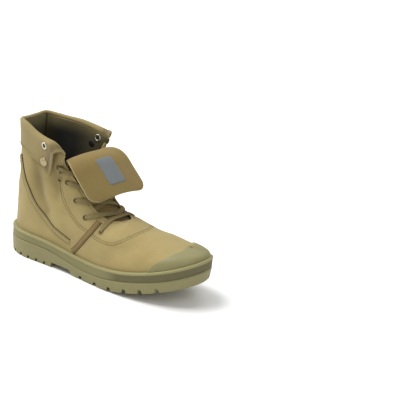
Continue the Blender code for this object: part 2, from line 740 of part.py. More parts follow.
def cuff_spot(side, foot, share):
    """Point on the outer face of the hanging part of the cuff, and its outward normal."""
    near = np.array([-1, 0, 1])
    leg = cuff_middle(side, foot + 0.004 * near)[:, -CUFF_LEG - 1:].swapaxes(0, 1)
    spots = spline(np.linspace(0, 1, CUFF_LEG + 1), leg, share + 0.03 * near)
    along, down = spots[1, 2] - spots[1, 0], spots[2, 1] - spots[0, 1]
    normal = unit(np.cross(along, down)) * side
    return spots[1, 1] + normal * CUFF_WALL / 2, normal


def make_cuff(finish):
    feet = np.linspace(0, CORNER, CUFF_COLUMNS)
    lateral = cuff_middle(LATERAL, feet)
    medial = cuff_middle(MEDIAL, feet)
    cuff = slab_object("cuff", np.concatenate([lateral[::-1], medial[1:]]), CUFF_WALL, finish)
    bores = [(*cuff_spot(side, *CUFF_GROMMET), GROMMET_HOLE, 1.6 * CUFF_WALL) for side in (LATERAL, MEDIAL)]
    boolean(cuff, pins("grommet_cutter", bores), "DIFFERENCE")
    return cuff


def make_fasteners(grommet_finish, snap_finish):
    """Grommet and closed snap near each front edge of the cuff."""
    for side in (LATERAL, MEDIAL):
        centre, normal = cuff_spot(side, *CUFF_GROMMET)
        name = f"grommet_{SIDE_NAMES[side]}"
        centre += normal * FASTENER_SEAT
        washer(name, centre, normal, GROMMET_HOLE, GROMMET_OUTER, GROMMET_THICK, grommet_finish)
        centre, normal = cuff_spot(side, *CUFF_SNAP)
        rows = turned(SNAP_PROFILE, centre + normal * FASTENER_SEAT, normal, EYELET_SIDES)
        rings = rows.swapaxes(0, 1).reshape(-1, 3)
        faces = ring_faces(len(SNAP_PROFILE), EYELET_SIDES)
        faces.append(tuple(range(EYELET_SIDES))[::-1])
        faces.append(tuple(range(len(rings) - EYELET_SIDES, len(rings))))
        mesh_object(f"snap_{SIDE_NAMES[side]}", rings, faces, snap_finish)


# ---------------------------------------------------------------- tongue

TONGUE_THICK = 2.6
TONGUE_COLUMNS, TONGUE_STEPS = 7, 26
TONGUE_GAP = 2.1
FLAP_CORNER = 14.0        # radius of the flap's two lower corners
TONGUE = (
    # foot of the rib beside it, how far it reaches under the quarter, rise of its edge there
    (0.625, 0.020, 0.80),
    (0.590, 0.030, 0.80),
    (0.550, 0.040, 0.80),
    (0.500, 0.045, 0.82),
    (0.450, 0.035, 0.90),
)
FLAP = (
    # lateral x, y, z; middle x, y, z; medial x, y, z
    (111.0, -21.0, 117.5, 116.0, 1.0, 120.0, 117.5, 21.5, 119.0),
    (98.0, -22.0, 135.5, 103.0, 1.0, 138.5, 106.5, 23.5, 138.5),
    (94.5, -24.0, 147.5, 101.0, 1.0, 151.0, 107.0, 27.0, 153.0),
    (104.5, -34.5, 152.5, 114.5, 1.0, 159.0, 123.0, 37.0, 162.0),
    (112.5, -39.0, 148.5, 125.0, 1.0, 158.0, 135.0, 40.5, 160.0),
    (126.5, -39.5, 132.5, 143.0, 1.0, 144.5, 153.5, 41.5, 145.0),
    (141.0, -39.0, 115.5, 159.5, 1.0, 127.5, 171.5, 41.0, 127.0),
    (148.5, -38.5, 106.0, 168.5, 1.0, 118.0, 181.0, 40.5, 117.5),
)


def tongue_rows():
    """Rows of five points across: under one quarter, at its edge, in the middle, and the same beyond."""
    rows = []
    depth = -(WALL + TONGUE_GAP + TONGUE_THICK / 2)
    for foot, tuck, tuck_rise in TONGUE:
        under = [upper_point(side, foot - tuck, tuck_rise, depth) for side in (LATERAL, MEDIAL)]
        edge = [upper_point(side, foot, 0.985, depth) for side in (LATERAL, MEDIAL)]
        middle = (edge[0] + edge[1]) / 2 + np.array([3.0, 0.0, 2.0])
        rows.append(np.stack([under[0], edge[0], middle, edge[1], under[1]]))
    return np.array(rows)


def make_tongue(finish):
    across = np.linspace(0, 1, TONGUE_COLUMNS)
    lower = np.stack([spline(np.linspace(0, 1, 5), row, across) for row in tongue_rows()])
    flap = np.array(FLAP).reshape(-1, 3, 3)
    flap = np.stack([spline(np.linspace(0, 1, 3), row, across) for row in flap])
    rows = np.concatenate([lower, flap])
    steps = np.linalg.norm(np.diff(rows[:, TONGUE_COLUMNS // 2], axis=0), axis=1)
    travel = np.concatenate([[0], np.cumsum(steps)])
    end = travel[-1]
    rounded = end - FLAP_CORNER * np.array([0.65, 0.35, 0.12, 0])
    stops = np.concatenate([np.linspace(0, end - FLAP_CORNER, TONGUE_STEPS - len(rounded)), rounded])
    middle = spline(travel, rows, stops)
    half = np.linalg.norm(middle[-1, -1] - middle[-1, 0]) / 2
    into = np.clip((stops - end) / FLAP_CORNER + 1, 0, 1)
    narrow = 1 - FLAP_CORNER * (1 - np.sqrt(1 - into ** 2)) / half
    spine = middle[:, TONGUE_COLUMNS // 2][:, None]
    return slab_object("tongue", spine + (middle - spine) * narrow[:, None, None], TONGUE_THICK, finish)


# ---------------------------------------------------------------- laces

LACE_WIDTH, LACE_THICK, LACE_STEPS = 7.0, 1.4, 11
LACE_LIFT = EYELET_SEAT + EYELET_THICK + 1.0 + LACE_THICK / 2      # of its middle over the upper
LACE_ARCH = 1.0           # how far a crossing stands over the line between the throat's edges
THROAT_OUT = (0.7, 0, 0.7)                     # away from the throat, square to its edges
LACE_LIFTS = (1.3, 0.7, 0, 0, 0.7, 1.3)            # more at the eyelets
LACE_FORWARD = (0, 0.8, 3.0, 3.0, 0.8, 0)      # more where the quarters stand upright
LACE_LEAN = 0.22          # how far a crossing has climbed where it passes the throat's edge


def lace_run(start, end):
    """Grid of a flat lace between two eyelets, over the throat's edges: start and end are (side, number)."""
    path = []
    for (side, number), (_, other) in ((start, end), (end, start)):
        foot, rise, edge = EYELETS[side][number]
        edge += (EYELETS[side][other][2] - edge) * LACE_LEAN
        path.append([(side, foot, rise), (side, (foot + edge) / 2, (rise + 0.97) / 2), (side, edge, 0.97)])
    path = path[0] + path[1][::-1]
    normals = np.array([upper_normal(*spot) for spot in path])
    points = np.array([upper_point(*spot, LACE_LIFT) for spot in path])
    points += normals * np.array(LACE_LIFTS)[:, None]
    points += np.abs(normals[:, 1:2]) * np.outer(LACE_FORWARD, THROAT_OUT)
    points = np.insert(points, 3, (points[2] + points[3]) / 2, axis=0)
    normals = np.insert(normals, 3, unit(normals[2] + normals[3]), axis=0)
    points[3] += normals[3] * LACE_ARCH
    travel = np.concatenate([[0], np.cumsum(np.linalg.norm(np.diff(points, axis=0), axis=1))])
    at = np.linspace(0, travel[-1], LACE_STEPS)
    middle, normal = spline(travel, points, at), unit(spline(travel, normals, at))
    across = unit(np.cross(normal, np.gradient(middle, axis=0)))
    return np.stack([middle + across * LACE_WIDTH / 2 * share for share in (-1, 1)], axis=1)


def make_laces(finish):
    """Bar over the foot of the throat, then crossings from pair to pair, joined as one solid."""
    last = len(EYELETS[LATERAL]) - 1
    runs = [((LATERAL, last), (MEDIAL, last))]
    for number in range(last, 0, -1):
        runs += [((side, number), (-side, number - 1)) for side in (LATERAL, MEDIAL)]
    laces = None
    for count, (start, end) in enumerate(runs):
        grid = lace_run(start, end)
        piece = slab_object("laces" if laces is None else f"lace_run_{count}", grid, LACE_THICK, finish)
        if laces is None:
            laces = piece
        else:
            boolean(laces, piece, "UNION")


# ---------------------------------------------------------------- assembly

def centre_on_floor():
    """Hangs every piece from one empty that puts the origin under the middle of the boot."""
    bpy.context.view_layer.update()
    shown = bpy.context.evaluated_depsgraph_get()
    pieces = [thing for thing in bpy.data.objects if not thing.hide_render]
    corners = []
    for piece in pieces:
        mesh = piece.evaluated_get(shown).data
        corners += [vertex.co for vertex in mesh.vertices]
    corners = np.array(corners)
    low, high = corners.min(axis=0), corners.max(axis=0)
    origin = bpy.data.objects.new("boot_origin", None)
    bpy.context.scene.collection.objects.link(origin)
    origin.location = (-(low[0] + high[0]) / 2, -(low[1] + high[1]) / 2, -low[2])
    for piece in bpy.data.objects:
        if piece != origin:
            piece.parent = origin


def main():
    clear_scene()
    canvas = material("canvas_upper", (0.38, 0.32, 0.15), 0.9)
    make_outsole(material("rubber_outsole", (0.27, 0.27, 0.17), 0.6))
    make_foxing(material("rubber_foxing", (0.21, 0.21, 0.13), 0.6))
    make_insole(material("insole_lining", (0.12, 0.11, 0.06), 0.9))
    make_upper(canvas)
    make_toe_cap(material("rubber_cap", (0.30, 0.30, 0.18), 0.5))
    make_cuff(material("canvas_cuff", (0.42, 0.36, 0.18), 0.9))
    make_tongue(material("canvas_tongue", (0.36, 0.31, 0.14), 0.9))
    make_eyelets(material("eyelet_metal", (0.6, 0.58, 0.5), 0.35, 1.0))
    grommet_finish = material("grommet_metal", (0.7, 0.68, 0.6), 0.35, 1.0)
    make_fasteners(grommet_finish, material("snap_brass", (0.6, 0.5, 0.3), 0.4, 1.0))
    make_laces(material("lace_cotton", (0.28, 0.24, 0.12), 0.9))
    for side in (LATERAL, MEDIAL):
        name = SIDE_NAMES[side]
        strip(f"heel_seam_{name}", side, HEEL_SEAM[side], material(f"seam_{name}", (0.33, 0.28, 0.13), 0.9))
        strip(f"side_tape_{name}", side, SIDE_TAPE[side], material(f"tape_{name}", (0.3, 0.25, 0.12), 0.9))
    centre_on_floor()


main()
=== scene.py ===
"""Looks of the canvas lace-up boot: cloth, rubber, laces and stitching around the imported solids.

Tables are in millimetres from the back of the heel, +X to the toe, +Y to the medial side, +Z up, as in the
part's own source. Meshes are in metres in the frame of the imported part.
"""
import math

import bmesh
import bpy
import numpy as np
from mathutils import Matrix, Vector


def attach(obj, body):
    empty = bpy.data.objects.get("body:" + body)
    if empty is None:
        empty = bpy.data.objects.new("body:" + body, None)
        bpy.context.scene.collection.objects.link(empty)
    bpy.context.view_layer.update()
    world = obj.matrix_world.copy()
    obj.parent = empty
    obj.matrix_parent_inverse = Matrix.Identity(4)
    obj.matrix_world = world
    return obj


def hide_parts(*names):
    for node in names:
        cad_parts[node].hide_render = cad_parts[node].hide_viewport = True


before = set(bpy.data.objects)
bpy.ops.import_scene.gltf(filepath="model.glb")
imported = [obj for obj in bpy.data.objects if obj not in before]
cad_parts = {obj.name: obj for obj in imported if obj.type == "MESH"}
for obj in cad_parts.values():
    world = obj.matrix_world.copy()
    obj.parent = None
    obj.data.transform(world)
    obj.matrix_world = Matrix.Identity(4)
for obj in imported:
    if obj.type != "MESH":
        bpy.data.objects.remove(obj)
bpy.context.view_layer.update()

MM = 0.001
LATERAL, MEDIAL = -1, 1
SIDE_NAMES = {LATERAL: "lateral", MEDIAL: "medial"}

GAP = 0.3                 # clearance between neighbouring pieces
WALL = 2.2                # canvas and lining of the upper
FOOT_INSET = 4.6          # from the edge of the sole in to the upper

# Sections of the sole: x, outline on each side, top of the outsole, top of the foxing band
SOLE = (
    # x, lateral, medial, seam, band
    (0, 2.0, 2.0, 23.6, 37.3),
    (7, -19.0, 23.0, 23.9, 37.2),
    (28, -34.0, 35.0, 24.6, 36.8),
    (70, -38.5, 36.5, 24.2, 35.4),
    (97, -40.0, 36.5, 21.4, 32.9),
    (125, -42.5, 37.5, 16.4, 30.0),
    (165, -49.0, 44.0, 15.0, 29.2),
    (205, -53.0, 52.0, 20.0, 33.4),
    (243, -50.5, 53.0, 28.6, 42.0),
    (277, -38.5, 46.0, 38.4, 52.4),
    (297, -19.0, 31.0, 45.5, 59.4),
    (305, 8.0, 8.0, 48.6, 62.4),
)

# Ribs of the upper run from the sole to its free edge. foot is the share of the half outline, heel to toe;
# x, y and z are where the rib ends.
CORNER, THROAT_END = 0.285, 0.610
COLLAR = {
    LATERAL: (
        # foot, x, y, z
        (0.000, 17.0, 1.0, 187.0),
        (0.040, 17.0, -13.0, 187.0),
        (0.075, 18.6, -24.5, 187.5),
        (0.112, 30.0, -31.0, 186.0),
        (0.155, 45.6, -33.5, 180.2),
        (0.215, 69.0, -35.0, 172.6),
        (0.260, 87.5, -35.5, 167.5),
        (CORNER, 98.0, -35.0, 158.4),
    ),
    MEDIAL: (
        (0.000, 17.0, 1.0, 187.0),
        (0.040, 15.9, 15.5, 187.0),
        (0.075, 17.0, 27.5, 187.2),
        (0.112, 28.0, 33.5, 185.7),
        (0.155, 46.5, 35.5, 184.7),
        (0.215, 74.0, 37.0, 183.0),
        (0.260, 100.0, 38.5, 178.0),
        (CORNER, 116.0, 38.5, 173.6),
    ),
}
THROAT = {
    LATERAL: (
        (CORNER, 98.0, -35.0, 158.4),
        (0.335, 97.8, -29.5, 142.9),
        (0.385, 112.3, -26.0, 125.7),
        (0.435, 127.4, -23.5, 108.1),
        (0.485, 143.8, -21.5, 92.5),
        (0.530, 159.8, -18.5, 83.9),
        (0.572, 175.4, -12.0, 83.3),
        (THROAT_END, 185.7, 1.5, 85.9),
    ),
    MEDIAL: (
        (CORNER, 116.0, 38.5, 173.6),
        (0.335, 109.8, 31.5, 151.6),
        (0.385, 119.6, 26.5, 130.1),
        (0.435, 134.3, 23.5, 109.0),
        (0.485, 152.3, 21.0, 93.0),
        (0.530, 166.7, 18.0, 85.8),
        (0.572, 178.8, 12.5, 84.7),
        (THROAT_END, 185.7, 1.5, 85.9),
    ),
}
RIDGE = (
    (THROAT_END, 185.7, 1.5, 85.9),
    (0.670, 202.0, 2.5, 81.0),
    (0.750, 221.3, 4.0, 76.4),
    (0.820, 239.5, 5.0, 73.3),
    (0.880, 254.7, 5.7, 71.8),
    (0.940, 266.7, 6.2, 71.1),
    (1.000, 276.8, 6.5, 70.7),
)
RIDGE_SLOPE = 0.24        # fall of the ridge that the ribs lie along where they meet it

# How a rib arrives at the collar and the throat (inwards is towards the other side), and the lengths of its
# two handles: rise as a share of the rib's height, reach as a share of its chord
ARRIVAL = (
    # foot, x, inwards, z, rise, reach
    (0.000, 0.03, -0.02, 1.0, 0.33, 0.36),
    (0.155, 0.05, -0.05, 1.0, 0.33, 0.33),
    (CORNER, 0.22, -0.06, 1.0, 0.34, 0.30),
    (0.335, 0.05, 0.10, 1.0, 0.36, 0.30),
    (0.385, -0.10, 0.25, 1.0, 0.40, 0.30),
    (0.435, -0.16, 0.42, 0.9, 0.45, 0.32),
    (0.485, -0.14, 0.66, 0.7, 0.52, 0.36),
    (0.530, -0.10, 0.85, 0.42, 0.58, 0.40),
    (0.572, -0.08, 0.96, 0.15, 0.62, 0.42),
)
RIDGE_HANDLES = (
    # foot, rise, reach
    (THROAT_END, 0.64, 0.44),
    (0.750, 0.66, 0.46),
    (0.880, 0.80, 0.50),
    (1.000, 0.74, 0.50),
)

DENSE = 400               # samples along each half of the outline


def spline(knots, values, at):
    """Natural cubic spline through a short table: one value, or an array of them, at each knot."""
    knots, values, at = np.asarray(knots, float), np.asarray(values, float), np.asarray(at, float)
    count, shape = len(knots), at.shape + values.shape[1:]
    values, at = values.reshape(count, -1), at.reshape(-1)
    step = np.diff(knots)
    slopes = np.diff(values, axis=0) / step[:, None]
    matrix, right = np.eye(count), np.zeros_like(values)
    for i in range(1, count - 1):
        matrix[i, i - 1:i + 2] = step[i - 1], 2 * (step[i - 1] + step[i]), step[i]
        right[i] = 6 * (slopes[i] - slopes[i - 1])
    bend = np.linalg.solve(matrix, right)
    at = np.clip(at, knots[0], knots[-1])
    i = np.clip(np.searchsorted(knots, at, side="right") - 1, 0, count - 2)
    span, near, far = step[i][:, None], (at - knots[i])[:, None], (knots[i + 1] - at)[:, None]
    cubic = (bend[i] * far ** 3 + bend[i + 1] * near ** 3) / (6 * span)
    linear = (values[i] / span - bend[i] * span / 6) * far
    linear = linear + (values[i + 1] / span - bend[i + 1] * span / 6) * near
    return (cubic + linear).reshape(shape)


def between(at, stations, rows):
    """Each column of rows, given at stations, at other places along them."""
    return np.stack([np.interp(at, stations, rows[:, k]) for k in range(rows.shape[1])], axis=-1)


def unit(vectors):
    return vectors / np.linalg.norm(vectors, axis=-1, keepdims=True)


def arc_length(grid, axis):
    """Distance along the rows or the columns of a grid of points."""
    step = np.linalg.norm(np.diff(grid, axis=axis), axis=-1)
    start = np.zeros_like(np.take(step, [0], axis=axis))
    return np.concatenate([start, np.cumsum(step, axis=axis)], axis=axis)


def half_outlines():
    """Each half of the sole's outline, heel to toe: share of its length, point and outward normal."""
    rows = np.array(SOLE)
    ring = np.vstack([rows[:, [0, 1]], rows[-2:0:-1, [0, 2]]])
    wrap = 4
    looped = np.vstack([ring[-wrap:], ring, ring[:wrap + 1]])
    travel = arc_length(looped, 0)
    heel, toe, heel_again = travel[wrap], travel[wrap + len(rows) - 1], travel[wrap + len(ring)]
    halves = {}
    for side, start in ((LATERAL, heel), (MEDIAL, heel_again)):
        line = spline(travel, looped, np.linspace(start, toe, DENSE))
        along = unit(np.gradient(line, axis=0))
        outward = np.stack([-side * along[:, 1], side * along[:, 0]], axis=1)
        length = arc_length(line, 0)
        halves[side] = length / length[-1], line, outward, length[-1]
    return halves


OUTLINE = half_outlines()
SOLE_ROWS = np.array(SOLE)


def sole_point(side, foot, inset=0.0):
    """Point on the sole's outline, moved in by inset."""
    share, line, outward, _ = OUTLINE[side]
    return between(foot, share, line) - between(foot, share, outward) * np.asarray(inset, float)[..., None]


def seam_z(x):
    return spline(SOLE_ROWS[:, 0], SOLE_ROWS[:, 3], x)


def band_z(x):
    return spline(SOLE_ROWS[:, 0], SOLE_ROWS[:, 4], x)


def edge_point(side, foot):
    """Where the rib ends: on the collar, the throat's edge or the ridge."""
    foot = np.asarray(foot, float)
    tables = (np.array(COLLAR[side]), np.array(THROAT[side]), np.array(RIDGE))
    parts = [spline(table[:, 0], table[:, 1:], foot) for table in tables]
    foot = foot[..., None]
    return np.where(foot <= CORNER, parts[0], np.where(foot <= THROAT_END, parts[1], parts[2]))


def handles(side, foot):
    """Direction in which a rib arrives, its rise share and its reach share, all along the boot."""
    ridge_feet = np.array([row[0] for row in RIDGE])
    start, end = sole_point(side, ridge_feet, FOOT_INSET), edge_point(side, ridge_feet)
    level = end[:, :2] - start
    arrive = unit(np.column_stack([level, -RIDGE_SLOPE * level[:, 0]]))
    spans = spline([row[0] for row in RIDGE_HANDLES], [row[1:] for row in RIDGE_HANDLES], ridge_feet)
    table = np.array(ARRIVAL)
    upright = unit(table[:, 1:4] * (1, -side, 1))
    feet = np.concatenate([table[:, 0], ridge_feet])
    rows = np.vstack([np.column_stack([upright, table[:, 4:]]), np.column_stack([arrive, spans])])
    found = spline(feet, rows, foot)
    return unit(found[..., :3]), found[..., 3], found[..., 4]


def upper_point(side, foot, rise, lift=0.0):
    """Outer face of the upper. rise is -1 at the sole, 0 at the foxing's top and 1 at the free edge."""
    foot, rise = np.broadcast_arrays(np.asarray(foot, float), np.asarray(rise, float))
    base = sole_point(side, foot, FOOT_INSET)
    band = band_z(base[..., 0])
    start = np.concatenate([base, band[..., None]], axis=-1)
    end = edge_point(side, foot)
    arrive, rise_share, reach_share = handles(side, foot)
    up = (end[..., 2] - start[..., 2]) * rise_share
    first = start + up[..., None] * np.array([0.0, 0.0, 1.0])
    second = end - arrive * (np.linalg.norm(end - start, axis=-1) * reach_share)[..., None]
    t = np.clip(rise, 0, 1)[..., None]
    point = start * (1 - t) ** 3 + first * 3 * t * (1 - t) ** 2 + second * 3 * t ** 2 * (1 - t) + end * t ** 3
    below = np.clip(rise, -1, 0) * (band - seam_z(base[..., 0]) - GAP)
    point = point + below[..., None] * np.array([0.0, 0.0, 1.0])
    if np.any(lift):
        point = point + upper_normal(side, foot, rise) * np.asarray(lift, float)[..., None]
    return point


def upper_normal(side, foot, rise):
    """Outward normal of the upper, from its slopes within the same run of ribs."""
    small = 0.002
    foot, rise = np.broadcast_arrays(np.asarray(foot, float), np.asarray(rise, float))
    low = np.select([foot <= CORNER, foot <= THROAT_END], [0.0, CORNER + 1e-6], THROAT_END + 1e-6)
    high = np.select([foot <= CORNER, foot <= THROAT_END], [CORNER, THROAT_END], 1.0)
    along = upper_point(side, np.minimum(foot + small, high), rise)
    along = along - upper_point(side, np.maximum(foot - small, low), rise)
    floor = np.where(rise < 0, -1.0, 0.0)
    across = upper_point(side, foot, np.minimum(rise + small, 1))
    across = across - upper_point(side, foot, np.maximum(rise - small, floor))
    return unit(np.cross(along, across)) * -side


# ---------------------------------------------------------------- shapes of the cuff and the tongue

CUFF_WALL = 2.0
CUFF = {
    LATERAL: (
        # foot, radius of the roll, depth of the flap, lift of its lower edge, drift back in the roll
        (0.000, 1.7, 33.5, 1.8, 0.000),
        (0.080, 1.8, 32.5, 1.4, 0.000),
        (0.165, 2.5, 34.5, 1.8, 0.000),
        (0.230, 4.0, 37.0, 2.6, 0.010),
        (0.262, 5.2, 41.0, 3.2, 0.018),
        (CORNER, 6.2, 43.0, 3.6, 0.026),
    ),
    MEDIAL: (
        (0.000, 1.7, 33.5, 1.8, 0.000),
        (0.080, 1.8, 35.0, 1.8, 0.000),
        (0.165, 2.5, 36.0, 2.2, 0.000),
        (0.230, 3.4, 36.0, 2.8, 0.002),
        (0.262, 4.2, 32.0, 3.3, 0.004),
        (CORNER, 5.6, 26.0, 3.6, 0.006),
    ),
}
CUFF_ARC, CUFF_LEG = 17, 16                          # rows over the roll and down the flap


def cuff_middle(side, feet):
    """Middle of the cuff's wall: up from the collar, over the roll and down the outside."""
    table = np.array(CUFF[side])
    radius, depth, low_lift, drift = spline(table[:, 0], table[:, 1:], feet).T
    arrive, _, _ = handles(side, feet)
    normal = upper_normal(side, feet, np.ones_like(feet))
    end, outer_end = edge_point(side, feet), edge_point(side, feet - drift)
    start = end - normal * (WALL / 2)
    centre = start + normal * radius[:, None] + arrive * (GAP + 1.2)
    back = (outer_end - end) * (1, 1, 0)
    rows = [start + arrive * (GAP + 0.1)]
    for angle in np.linspace(0, math.pi, CUFF_ARC):
        inward, upward = radius * math.cos(angle), radius * math.sin(angle)
        turned_to = centre - normal * inward[:, None] + arrive * upward[:, None]
        rows.append(turned_to + back * (1 - math.cos(angle)) / 2)
    length = np.linalg.norm(outer_end - upper_point(side, feet - drift, np.zeros_like(feet)), axis=-1)
    sunk = outer_end[:, 2] - rows[-1][:, 2]
    leg_rows = []
    for share in np.linspace(0, 1, CUFF_LEG + 1):
        rise = np.minimum(1 - (sunk + (depth - sunk) * share) / length, 1)
        lift = low_lift + (2 * radius - WALL / 2 - low_lift) * (1 - share) ** 1.6
        leg_rows.append(upper_point(side, feet - drift, rise, lift))
        if share:
            rows.append(leg_rows[-1] + (rows[CUFF_ARC] - leg_rows[0]) * (1 - share) ** 2)
    return np.stack(rows, axis=1)


CUFF_GROMMET, CUFF_SNAP = (0.230, 0.12), (0.234, 0.78)      # foot, share of the way down the flap
GROMMET_HOLE, GROMMET_OUTER = 3.0, 5.2


def cuff_spot(side, foot, share):
    """Point on the outer face of the hanging part of the cuff, and its outward normal."""
    near = np.array([-1, 0, 1])
    part = cuff_middle(side, foot + 0.004 * near)[:, -CUFF_LEG - 1:].swapaxes(0, 1)
    spots = spline(np.linspace(0, 1, CUFF_LEG + 1), part, share + 0.03 * near)
    along, down = spots[1, 2] - spots[1, 0], spots[2, 1] - spots[0, 1]
    normal = unit(np.cross(along, down)) * side
    return spots[1, 1] + normal * CUFF_WALL / 2, normal


TONGUE_THICK = 2.6
TONGUE_GAP = 2.1
FLAP_CORNER = 14.0        # radius of the flap's two lower corners
TONGUE = (
    # foot of the rib beside it, how far it reaches under the quarter, rise of its edge there
    (0.625, 0.020, 0.80),
    (0.590, 0.030, 0.80),
    (0.550, 0.040, 0.80),
    (0.500, 0.045, 0.82),
    (0.450, 0.035, 0.90),
)
FLAP = (
    # lateral x, y, z; middle x, y, z; medial x, y, z
    (111.0, -21.0, 117.5, 116.0, 1.0, 120.0, 117.5, 21.5, 119.0),
    (98.0, -22.0, 135.5, 103.0, 1.0, 138.5, 106.5, 23.5, 138.5),
    (94.5, -24.0, 147.5, 101.0, 1.0, 151.0, 107.0, 27.0, 153.0),
    (104.5, -34.5, 152.5, 114.5, 1.0, 159.0, 123.0, 37.0, 162.0),
    (112.5, -39.0, 148.5, 125.0, 1.0, 158.0, 135.0, 40.5, 160.0),
    (126.5, -39.5, 132.5, 143.0, 1.0, 144.5, 153.5, 41.5, 145.0),
    (141.0, -39.0, 115.5, 159.5, 1.0, 127.5, 171.5, 41.0, 127.0),
    (148.5, -38.5, 106.0, 168.5, 1.0, 118.0, 181.0, 40.5, 117.5),
)


def tongue_rows():
    """Rows of five points across: tucked under one quarter, at its edge, in the middle, and again beyond."""
    rows = []
    depth = -(WALL + TONGUE_GAP + TONGUE_THICK / 2)
    for foot, tuck, tuck_rise in TONGUE:
        under = [upper_point(side, foot - tuck, tuck_rise, depth) for side in (LATERAL, MEDIAL)]
        edge = [upper_point(side, foot, 0.985, depth) for side in (LATERAL, MEDIAL)]
        middle = (edge[0] + edge[1]) / 2 + np.array([3.0, 0.0, 2.0])
        rows.append(np.stack([under[0], edge[0], middle, edge[1], under[1]]))
    return np.array(rows)


def tongue_grid(across, steps):
    """Middle of the tongue's wall, from under the laces up and over into the hanging flap."""
    lower = np.stack([spline(np.linspace(0, 1, 5), row, across) for row in tongue_rows()])
    flap = np.array(FLAP).reshape(-1, 3, 3)
    flap = np.stack([spline(np.linspace(0, 1, 3), row, across) for row in flap])
    rows = np.concatenate([lower, flap])
    centre = rows[:, len(across) // 2]
    travel = arc_length(centre, 0)
    end = travel[-1]
    rounded = end - FLAP_CORNER * (1 - np.sin(np.linspace(0, math.pi / 2, 14)))[1:]
    stops_at = np.concatenate([np.linspace(0, end - FLAP_CORNER, steps - len(rounded)), rounded])
    middle = spline(travel, rows, stops_at)
    half = np.linalg.norm(middle[-1, -1] - middle[-1, 0]) / 2
    into = np.clip((stops_at - end) / FLAP_CORNER + 1, 0, 1)
    narrow = 1 - FLAP_CORNER * (1 - np.sqrt(1 - into ** 2)) / half
    spine = middle[:, len(across) // 2][:, None]
    return spine + (middle - spine) * narrow[:, None, None]


CAP_START = 0.752
CAP_EDGE = (
    # foot, rise of the cap's edge
    (CAP_START, 0.04),
    (0.774, 0.17),
    (0.802, 0.29),
    (0.864, 0.55),
    (0.914, 0.77),
    (0.945, 0.92),
    (0.965, 0.995),
)
HEEL_SEAM = {
    LATERAL: ((0.086, 0.700), (0.126, 0.520), (0.196, 0.325), (0.246, 0.232), (0.298, 0.166), (0.384, 0.120)),
    MEDIAL: ((0.090, 0.700), (0.112, 0.506), (0.160, 0.344), (0.224, 0.238), (0.326, 0.172), (0.410, 0.112)),
}
SIDE_TAPE = {
    LATERAL: ((0.400, 0.030), (0.424, 0.131), (0.460, 0.350), (0.494, 0.638), (0.512, 0.880)),
    MEDIAL: ((0.434, 0.030), (0.446, 0.100), (0.464, 0.250), (0.487, 0.560), (0.510, 0.860)),
}
EYELETS = {
    LATERAL: (
        # foot, rise, foot where its laces pass the throat's edge
        (0.274, 0.812, 0.342),
        (0.352, 0.846, 0.388),
        (0.394, 0.744, 0.437),
        (0.450, 0.688, 0.492),
        (0.532, 0.669, 0.545),
    ),
    MEDIAL: (
        (0.276, 0.722, 0.361),
        (0.347, 0.810, 0.388),
        (0.392, 0.720, 0.437),
        (0.450, 0.670, 0.492),
        (0.532, 0.650, 0.545),
    ),
}
RIB_START = 0.60
THROAT_OUT = (0.7, 0, 0.7)                     # away from the throat, square to its edges
LACE_LEAN = 0.22          # how far a crossing has climbed where it passes the throat's edge


# ---------------------------------------------------------------- creases

ORIGIN_SHIFT = np.array([-152.5, -0.18, 0.0])      # from the tables' origin to the part's

# Folds worn into the cloth, as soft troughs (depth below 0) and ridges along lines over the upper
CREASES = (
    # side, half width, depth, (foot, rise) along the fold
    (LATERAL, 8.0, -3.4, ((0.178, 0.74), (0.196, 0.60), (0.215, 0.50), (0.240, 0.38), (0.262, 0.31))),
    (LATERAL, 9.0, 2.2, ((0.236, 0.66), (0.255, 0.52), (0.285, 0.38), (0.325, 0.28))),
    (LATERAL, 7.0, -1.4, ((0.262, 0.68), (0.280, 0.60), (0.296, 0.52))),
    (LATERAL, 5.0, -1.3, ((0.268, 0.72), (0.288, 0.62), (0.300, 0.52))),
    (LATERAL, 9.0, 1.2, ((0.100, 0.70), (0.135, 0.52), (0.165, 0.38))),
    (LATERAL, 6.0, -0.8, ((0.030, 0.72), (0.060, 0.56), (0.090, 0.44))),
    (LATERAL, 7.0, -0.8, ((0.330, 0.30), (0.370, 0.24), (0.410, 0.20))),
    (LATERAL, 8.0, -0.9, ((0.560, 0.30), (0.620, 0.34), (0.670, 0.50), (0.700, 0.72))),
    (LATERAL, 9.0, 0.8, ((0.640, 0.16), (0.690, 0.30), (0.720, 0.52))),
    (LATERAL, 6.0, -0.6, ((0.700, 0.12), (0.735, 0.28), (0.760, 0.46))),
    (MEDIAL, 9.0, -2.0, ((0.150, 0.74), (0.190, 0.56), (0.230, 0.42))),
    (MEDIAL, 8.0, 1.3, ((0.220, 0.70), (0.245, 0.50), (0.290, 0.36))),
    (MEDIAL, 7.0, -1.0, ((0.270, 0.66), (0.300, 0.52), (0.330, 0.42))),
    (MEDIAL, 8.0, -0.8, ((0.560, 0.30), (0.620, 0.34), (0.680, 0.55))),
    (MEDIAL, 8.0, 0.7, ((0.640, 0.14), (0.700, 0.30), (0.740, 0.55))),
)
CREASE_POINTS = 14
CREASE_ENDS = 0.12        # share of a fold's length beyond which it gets no shallower
FOXING_FADE = 0.10        # rise below which the folds die out
SWELLS = (
    # wave length, height, direction
    (58.0, 0.35, (0.8, 0.2, 0.6)),
    (41.0, 0.25, (-0.5, 0.3, 0.8)),
    (27.0, 0.16, (0.9, -0.4, -0.2)),
    (19.0, 0.10, (0.2, 0.7, 0.7)),
)


